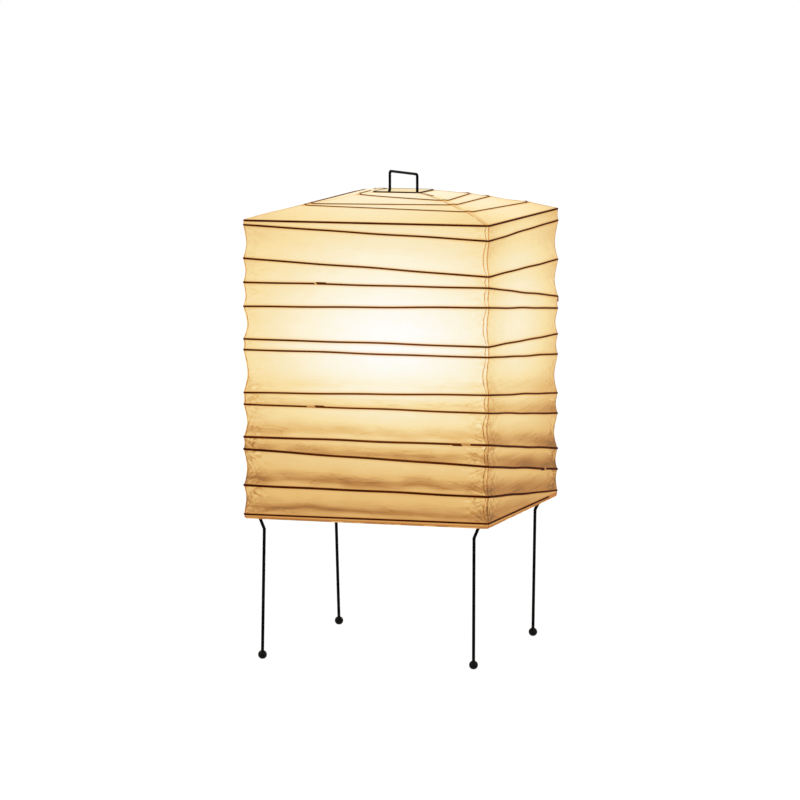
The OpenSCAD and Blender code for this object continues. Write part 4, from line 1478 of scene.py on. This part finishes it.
@dataclass
class Canes:
    """The two winding ribs, the hoop at the eave and the joints where one cane meets the next."""

    form: ShadeForm
    roof: PaperRoof
    grower: Grower
    roof_rib: float = 1.6
    hoop: float = 2.3
    hip_bend: float = 11.0
    roof_start: float = 0.0
    roof_end: float = 0.8
    wall_end: float = 0.75
    joint_over: float = 11.0
    clear_of_hem: float = 0.14
    stout: float = 0.24
    stout_below: float = 275.0
    hem_thin: float = 0.28
    bound_over: float = 0.5
    hoop_in: float = 0.5
    hoop_down: float = 0.75
    unevenness: float = 0.22
    stub: tuple[float, float] = (0.5, 6.0)
    # Each joint by the rib's run that it lies on, its place from -1 to 1 along the side, the
    # length of its bound gap, and the side of the gap on which two canes lie together
    joints: tuple[tuple[int, float, float, int], ...] = (
        (9, -0.40, 0.8, 1), (29, -0.44, 8.0, 1), (33, 0.82, 8.5, -1), (38, 0.60, 4.0, -1),
        (16, -0.5, 7.0, 1), (23, 0.4, 8.0, -1), (43, 0.1, 6.0, 1),
    )

    def wall_points(self, j: int, s: Array, out: float = 0.0, sink: float = 0.0) -> Array:
        """Points of the wall rib's run j, at places s along its side.

        Args:
            j: number of the run.
            s: places along the side.
            out: how far outside the run's line the points lie.
            sink: how far below it.

        Returns:
            One row of x, y and z for each place.
        """
        form = self.form
        depth = form.rib_depth(j, s / form.half - 1)
        z = form.eave - depth - sink
        # A stout cane keeps its inner face, and the lowest clears the hem's wire when folded up
        out = out + form.proud - form.rib / 2 * (1 - self.stoutness(z))
        out = out + self.clear_of_hem * eased((186 - z) / 10)
        return points(*form.plan(Side((j + 3) % 4), s, form.half, form.corner_radius(depth), out), z)

    def stoutness(self, z: Array) -> Array:
        """How much thicker than its usual girth the wall rib is at a height."""
        return self.stout * eased((self.stout_below - z) / 40)

    @cached_property
    def stations(self) -> Array:
        """Places along a side, closer together at its corners."""
        near, width = np.arange(0, 6.1, 0.75), 2 * self.form.half
        return np.concatenate([near, np.linspace(10, width - 10, 28), width - near[:0:-1]])

    def wall_runs(self) -> list[Array]:
        """The wall rib as separate canes, broken where a joint lies.

        Returns:
            The path of each cane.
        """
        runs, path, half = [], [], self.form.half
        breaks = {j: (half * (1 + u) - gap / 2, half * (1 + u) + gap / 2) for j, u, gap, _ in self.joints}
        last = len(self.form.steps) - 2
        for j in range(last + 1):
            stop = half * (1 + self.wall_end) if j == last else math.inf
            spots = self.stations[self.stations < stop]
            if j in breaks:
                end, start = breaks[j]
                path.append(self.wall_points(j, np.append(spots[spots < end], end)))
                runs.append(np.concatenate(path))
                path, spots = [], np.append(start, spots[spots >= start + 1])
            path.append(self.wall_points(j, spots))
        return [*runs, np.concatenate(path)]

    def girth(self, path: Array) -> Array:
        """The wall rib's relative thickness: stouter canes were used low down, but not at the hem."""
        z = path[:, 2]
        return 1 + self.stoutness(z) - self.hem_thin * eased((182 - z) / 10)

    def sleeves(self) -> tuple[list[Array], list[Array]]:
        """The paper-bound gap of each joint, and the second cane that thickens it beside the gap.

        Returns:
            The paths of the sleeves, and those of the doubled canes.
        """
        sleeves, doubled = [], []
        for j, u, gap, way in self.joints:
            middle = self.form.half * (1 + u)
            spots = np.linspace(middle - gap / 2 - 1, middle + gap / 2 + 1, 6)
            sleeves.append(self.wall_points(j, spots, out=-0.1))
            over = middle + way * (gap / 2 + np.linspace(0, self.joint_over, 6))
            doubled.append(self.wall_points(j, np.sort(over), out=0.05, sink=-0.8 * way))
        # The rib's loose end, which sticks out at the back right corner
        stub = self.wall_points(10, np.full(4, 2 * self.form.half - 1.0), out=0.2)
        return sleeves, [*doubled, stub - points(0, 0, np.linspace(*self.stub, 4))]

    def roof_path(self) -> Array:
        """The roof rib's path.

        Returns:
            One row of x, y and z for each point.
        """
        roof, form, rows = self.roof, self.form, []
        last = len(roof.steps) - 2
        for j in range(last + 1):
            side = Side((j + 3) % 4)
            first = self.roof_start if j == 0 else -1.0
            final = self.roof_end if j == last else 1.0
            u = np.linspace(first, final, 34)[: -1 if j < last else None]
            w = roof.half_width(roof.rib_share(j, u))
            x, y = form.plan(side, (u + 1) * w, w, np.minimum(self.hip_bend, 0.3 * w))
            w = np.maximum(np.abs(x), np.abs(y))
            f = (w - form.open_half) / (form.half - form.open_half)
            turn = math.radians(-90 * side.value)
            u = (x * math.cos(turn) - y * math.sin(turn)) / w
            rows.append(points(x, y, roof.height(side, u, f) + form.proud - self.roof_rib / 2))
        return np.concatenate(rows)

    def build(self, cane: Material, slim: Material, bound: Material) -> list[Object]:
        """Grow the canes.

        Args:
            cane: material of the walls' canes.
            slim: material of the roof's slimmer cane.
            bound: material of the paper that binds the joints.

        Returns:
            The pieces.
        """
        form = self.form
        sleeves, doubled = self.sleeves()
        level = form.eave - self.hoop_down
        hoop = form.around(self.stations, form.half, form.edge_bend, level, -self.hoop_in)
        plans = {
            "wall_rib_canes": (self.wall_runs() + doubled, False, self.girth, form.rib, 10, cane),
            "wall_rib_joints": (sleeves, False, self.girth, form.rib + self.bound_over, 12, bound),
            "roof_rib_cane": ([self.roof_path()], False, None, self.roof_rib, 10, slim),
            "eave_hoop_cane": ([hoop], True, None, self.hoop, 12, cane),
        }
        return [
            self.grower.along(
                name, runs, closed, girth,
                Thickness=thick * MM, Sides=sides, Unevenness=self.unevenness, Seed=3.0, Material=material,
            )
            for name, (runs, closed, girth, thick, sides, material) in plans.items()
        ]


@dataclass
class TopOpening:
    """The wire round the top opening, which stands proud of the roof, and the paper inside it."""

    form: ShadeForm
    grower: Grower
    wire: float = 2.0
    bend: float = 3.0
    drop: float = 8.0
    start: float = 0.35
    gap: float = 0.05

    def loop(self, half: float, radius: float, z: float) -> Array:
        """Points round a square with rounded corners, at one height.

        Args:
            half: half its width.
            radius: radius of its corners.
            z: its height.

        Returns:
            One row of x, y and z for each point.
        """
        near = np.linspace(0, radius, 6)
        middle = np.linspace(radius + 2, 2 * half - radius - 2, 10)
        return self.form.around(np.concatenate([near, middle, 2 * half - near[:0:-1]]), half, radius, z)

    def build(self, enamel: Material, paper: Material) -> tuple[Object, Object]:
        """Make the wire and the collar of paper.

        Args:
            enamel: material of the wire.
            paper: material of the collar.

        Returns:
            The wire and the collar.
        """
        top = self.form.roof + self.form.ring_proud
        middle = self.form.open_half - self.wire / 2
        wire = self.grower.along(
            "top_ring_wire", [self.loop(middle, self.bend, top - self.wire / 2)], True, None,
            Thickness=self.wire * MM, Sides=14, Unevenness=0.02, Seed=5.0, Material=enamel,
        )
        half, collar = middle - self.wire / 2 - self.gap, Sheet()
        for z in np.linspace(top - self.start, top - self.drop, 6):
            rings = (self.loop(half - inset, self.bend - 1, z) for inset in (0.0, self.form.paper))
            outer, inner = (np.concatenate([ring, ring[:1]]) for ring in rings)
            around = np.linspace(20.0, 240.0, len(outer))
            collar.row(outer, inner, sheet=points(around, top - z + 20, 1200.0))
        return wire, collar.build("paper_collar", paper)


@dataclass
class WireStand:
    """The bent wire stand: its wires get their coat of enamel, and the welds are added."""

    grower: Grower
    frame_corner: float = 128.6
    frame_z: float = 170.0
    plate_r: float = 20.5
    plate_z: float = 174.7
    bead: float = 3.4
    beside: float = 0.9
    under: float = 1.4
    over: float = 1.5
    apart: float = 1.2
    coat: float = 0.35

    def coated(self, node: Object, enamel: Material) -> Object:
        """Copy a wire of the frame with its coat of enamel on, which fills it out a little.

        Args:
            node: the bare wire.
            enamel: the coat's material.

        Returns:
            The coated wire, at the origin.
        """
        # The node's triangles are loose at their edges, so they are joined before they move out
        joined = bmesh.new()
        joined.from_mesh(node.data)
        joined.transform(node.matrix_world)
        bmesh.ops.remove_doubles(joined, verts=joined.verts, dist=0.001 * MM)
        joined.normal_update()
        joined.verts.index_update()
        places = np.array([vert.co + vert.normal * self.coat * MM for vert in joined.verts]) / MM
        faces = [tuple(vert.index for vert in face.verts) for face in joined.faces]
        joined.free()
        made = mesh_object(f"coated_{node.name}", places, faces)
        made.data.materials.append(enamel)
        return made

    def welds(self, enamel: Material) -> Object:
        """Grow the welds where leg and arm join the frame, and where an arm joins the plate.

        Args:
            enamel: the stand's material.

        Returns:
            The welds as one piece.
        """
        spots, w, r = [], self.frame_corner, self.plate_r / math.sqrt(2)
        for cx, cy in ((-1, -1), (1, -1), (1, 1), (-1, 1)):
            for way in (-1, 1):
                x, y = cx * (w + self.beside * way), cy * (w - self.beside * way)
                spots += [(x, y, self.frame_z - self.under), (x, y, self.frame_z + self.over)]
                spots.append((cx * r + self.apart * way * cy, cy * r - self.apart * way * cx, self.plate_z))
        seedling = mesh_object("stand_welds", np.array(spots), [])
        return self.grower.grow(seedling, self.grower.beads, Size=self.bead * MM, Seed=4, Material=enamel)


@dataclass(frozen=True)
class Thread:
    """A screw thread round the lamp's axis, which a tube or a cap carries."""

    name: str
    foot: float
    tall: float
    radius: float
    pitch: float
    ridge: float

    def build(self, grower: Grower, metal: Material) -> Object:
        """Grow the thread.

        Args:
            grower: the trees.
            metal: its material.

        Returns:
            The piece.
        """
        return grower.grow(
            mesh_object(self.name, points(0, 0, [self.foot]), []), grower.thread, Radius=self.radius * MM,
            Height=self.tall * MM, Turns=self.tall / self.pitch, Ridge=self.ridge * MM, Material=metal,
        )


# The thread of the lampholder's tube, and the rolled thread of the bulb's cap
STEM_THREAD = Thread("stem_thread", 162.6, 9.0, 4.88, 1.0, 0.55)
CAP_THREAD = Thread("bulb_cap_thread", 290.5, 15.0, 12.6, 3.63, 1.7)


# --------------------------------------------------------------------------- studio


@dataclass
class Studio:
    """Floor, soft light and camera. The camera's place was fitted to the photograph."""

    azimuth: float = 17.4465
    elevation: float = 6.504
    distance: float = 5058.7
    aside: float = -3.883
    height: float = 280.437
    focal_px: float = 4504.6
    frame_px: float = 800.0
    sensor: float = 36.0
    floor_size: float = 40.0
    floor_lit: str = "#e4e4e2"
    floor_shown: str = "#5c5c5b"
    floor_glow: float = 0.96
    ambient: float = 0.55
    aim: Triple = (0.0, 0.0, 0.3)
    # Each soft box's place, width and power, in metres and watts
    boxes: tuple[tuple[str, Triple, float, float], ...] = (
        ("key", (-1.6, -2.2, 2.2), 2.2, 38.0),
        ("fill", (2.4, -1.8, 1.4), 2.2, 20.0),
        ("rim", (0.6, 2.4, 2.0), 1.8, 16.0),
    )

    def camera(self) -> None:
        """Place the camera."""
        az, el = math.radians(self.azimuth), math.radians(self.elevation)
        back = Vector((math.sin(az) * math.cos(el), -math.cos(az) * math.cos(el), math.sin(el)))
        right = Vector((math.cos(az), math.sin(az), 0))
        data = bpy.data.cameras.new("camera")
        data.sensor_width = self.sensor
        data.lens = self.focal_px * self.sensor / self.frame_px
        data.clip_start, data.clip_end = 0.05, 200
        made = placed("camera", data)
        spot = (Vector((0, 0, self.height)) + back * self.distance + right * self.aside) * MM
        turn = Matrix((right, back.cross(right), back)).transposed().to_4x4()
        made.matrix_world = Matrix.Translation(spot) @ turn
        bpy.context.scene.camera = made

    @staticmethod
    def apart(lit: Flow, shown: Flow) -> Flow:
        """Keep what lights the lamp apart from what shows, straight, mirrored or through glass.

        Args:
            lit: what gives light.
            shown: what shows.

        Returns:
            The shader.
        """
        camera, glossy, through = (
            add(lit.tree, "ShaderNodeLightPath", out=f"Is {kind} Ray")
            for kind in ("Camera", "Glossy", "Transmission")
        )
        seen = camera.maths("MAXIMUM", glossy.maths("MAXIMUM", through))
        return add(lit.tree, "ShaderNodeMixShader", {0: seen, 1: lit, 2: shown})

    def world(self) -> None:
        """Light the scene evenly, and show white behind it."""
        world = bpy.data.worlds.new("studio")
        world.use_nodes = True
        bpy.context.scene.world = world
        tree = world.node_tree
        tree.nodes.clear()
        soft, white = (
            add(tree, "ShaderNodeBackground", {"Color": (1, 1, 1, 1), "Strength": strength})
            for strength in (self.ambient, 1.0)
        )
        add(tree, "ShaderNodeOutputWorld", {0: self.apart(soft, white)})

    def white_sweep(self, tree: NodeTree) -> Flow:
        """The floor's shader: a matt grey that shows as white with the lamp's shadow on it.

        Args:
            tree: the material's tree.

        Returns:
            The shader.
        """
        matt, faint = (
            add(tree, "ShaderNodeBsdfDiffuse", {"Color": linear(grey)})
            for grey in (self.floor_lit, self.floor_shown)
        )
        white = add(tree, "ShaderNodeEmission", {"Color": (1, 1, 1, 1), "Strength": self.floor_glow})
        return self.apart(matt, add(tree, "ShaderNodeAddShader", {0: faint, 1: white}))

    def floor(self) -> None:
        """Lay the pale floor."""
        s = self.floor_size / 2 / MM
        made = mesh_object("floor", points([-s, s, s, -s], [-s, -s, s, s], 0.0), [(0, 1, 2, 3)])
        made.data.materials.append(node_material("white_sweep", self.white_sweep))

    def lamps(self) -> None:
        """Hang the soft boxes, which face the lamp."""
        for name, spot, size, power in self.boxes:
            data = bpy.data.lights.new(name, "AREA")
            data.size, data.energy = size, power
            made = placed(name, data)
            made.location = spot
            made.rotation_mode = "QUATERNION"
            made.rotation_quaternion = (Vector(spot) - Vector(self.aim)).to_track_quat("Z", "Y")

    def build(self) -> None:
        """Set up the whole studio."""
        bpy.context.scene.view_settings.view_transform = "Standard"
        for part in (self.camera, self.world, self.floor, self.lamps):
            part()


# --------------------------------------------------------------------------- the whole lamp


@dataclass
class PaperLamp:
    """The whole lamp: the frame's nodes in their finishes, and the pieces that replace some."""

    frame: dict[str, Any]

    def dress_nodes(self, materials: dict[str, Material]) -> None:
        """Give each CAD node the finish of its slot.

        Args:
            materials: finish of each slot.
        """
        slots = {row["node"]: row["material_slot"] for row in self.frame["record"]["subparts"]}
        for name, node in self.frame["nodes"].items():
            if slots[name] in materials:
                node.data.materials.clear()
                node.data.materials.append(materials[slots[name]])

    @staticmethod
    def settle(piece: Object, body: Body, slot: str, *replaces: str) -> None:
        """Put a finished piece on its body and log it.

        Args:
            piece: the piece.
            body: the body that it moves with.
            slot: the record's slot named for the piece; not used.
            *replaces: CAD nodes that it stands for.
        """
        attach(piece, body.value)
        if replaces:
            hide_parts(*replaces)
        LOG.info("%s: %d faces, on %s", piece.name, len(piece.data.polygons), body.value)

    @staticmethod
    def wall_papers(hem_shadow_line: float) -> dict[Side, Material]:
        """Make the walls' papers, whose light was fitted to the photograph one by one.

        Args:
            hem_shadow_line: depth of the painted shadow of the hem's wire.

        Returns:
            The paper of each side.
        """
        front = Washi("washi_front", hem_shadow_line=hem_shadow_line)
        right = Washi(
            "washi_right", bulb_at=(-91.6, -25.3, 366.2), gain=1.02, squareness=2.66, low_loss=0.90,
            inside_light=0.092, fold_loss=0.74, hem_shadow_line=hem_shadow_line, streak=3.0, fan_reach=1.5,
        )
        back = Washi("washi_back", bulb_at=(-29.6, -3.0, 347.4), hem_shadow_line=hem_shadow_line)
        left = Washi("washi_left", bulb_at=(3.0, 10.0, 350.0), hem_shadow_line=hem_shadow_line)
        walls = (front, right, back, left)
        return {side: replace(walls[side.value], under=walls[side.value - 1]).make() for side in Side}

    def build(self) -> None:
        """Make and dress everything."""
        materials = {slot: finish.make() for slot, finish in FINISHES.items()}
        self.dress_nodes(materials)
        form, grower = ShadeForm.from_frame(), Grower()
        papers = self.wall_papers(form.height - form.hem_shadow_height)
        roof_paper = Washi(
            "washi_roof", bulb_at=(0.0, 0.0, 360.0), gain=0.44, squareness=1.0, low_loss=0.0,
            inside_light=0.135, shadow_of_bow=True, lap=5.0, lap_line=0.3, lap_shade=0.22,
        ).make()
        collar_paper = Washi("washi_collar", bulb_at=(0.0, 0.0, 360.0), gain=0.2, inside_light=0.36).make()
        binding = Washi("washi_binding", gain=0.0, inside_light=0.11, lap_line=0.0, lap_shade=0.0).make()
        # The roof's slimmer cane has lighter painted shade, as lit paper lies over the roof's ribs
        slim = SplitBamboo("split_bamboo_slim", dark="#562c0a", light="#7c4818", halo="#8a5420").make()
        # The top ring's enamel is drawn browner than the stand's black
        browner_tone = {"name": "browner_enamel", "base": "#2a1004", "shade": "#3a1a08"}
        browned = replace(FINISHES["black_wire"], **browner_tone).make()
        walls, roof, hem = PaperWalls(form), PaperRoof(form), Hem(form)
        for side in Side:
            name, paper = side.name.lower(), papers[side]
            wall = walls.sheet(side, paper)
            self.settle(wall, Body.SHADE_TOP, "washi", f"wall_{name}")
            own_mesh(wall)
            self.settle(roof.sheet(side, roof_paper), Body.SHADE_TOP, "washi", f"roof_{name}")
            self.settle(hem.sheet(side, paper), Body.SHADE_BOTTOM, "washi", f"hem_{name}")
        canes, bound, slender, hoop = Canes(form, roof, grower).build(materials["bamboo"], slim, binding)
        self.settle(canes, Body.SHADE_TOP, "bamboo", "wall_rib")
        self.settle(bound, Body.SHADE_TOP, "washi")
        for piece in (canes, bound):
            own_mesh(piece)
        self.settle(slender, Body.SHADE_TOP, "bamboo", "roof_rib")
        self.settle(hoop, Body.SHADE_TOP, "bamboo", "eave_hoop")
        ring, collar = TopOpening(form, grower).build(browned, collar_paper)
        self.settle(ring, Body.SHADE_TOP, "black_wire", "top_ring")
        self.settle(collar, Body.SHADE_TOP, "washi")
        stand, enamel = WireStand(grower), materials["black_wire"]
        self.settle(stand.welds(enamel), Body.STAND, "black_wire")
        for name in ("leg_front_left", "leg_front_right", "leg_back_right", "leg_back_left", "bow"):
            coated = stand.coated(self.frame["nodes"][name], enamel)
            self.settle(coated, Body.STAND, "black_wire", name)
        for thread, body, slot in (
            (STEM_THREAD, Body.STAND, "zinc_steel"), (CAP_THREAD, Body.BULB, "nickel_cap"),
        ):
            self.settle(thread.build(grower, materials[slot]), body, slot)


def main() -> None:
    """Load the frame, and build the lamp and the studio."""
    logging.basicConfig(level=logging.INFO, format="%(message)s")
    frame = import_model()
    PaperLamp(frame).build()
    Studio().build()


if __name__ == "__main__":
    main()
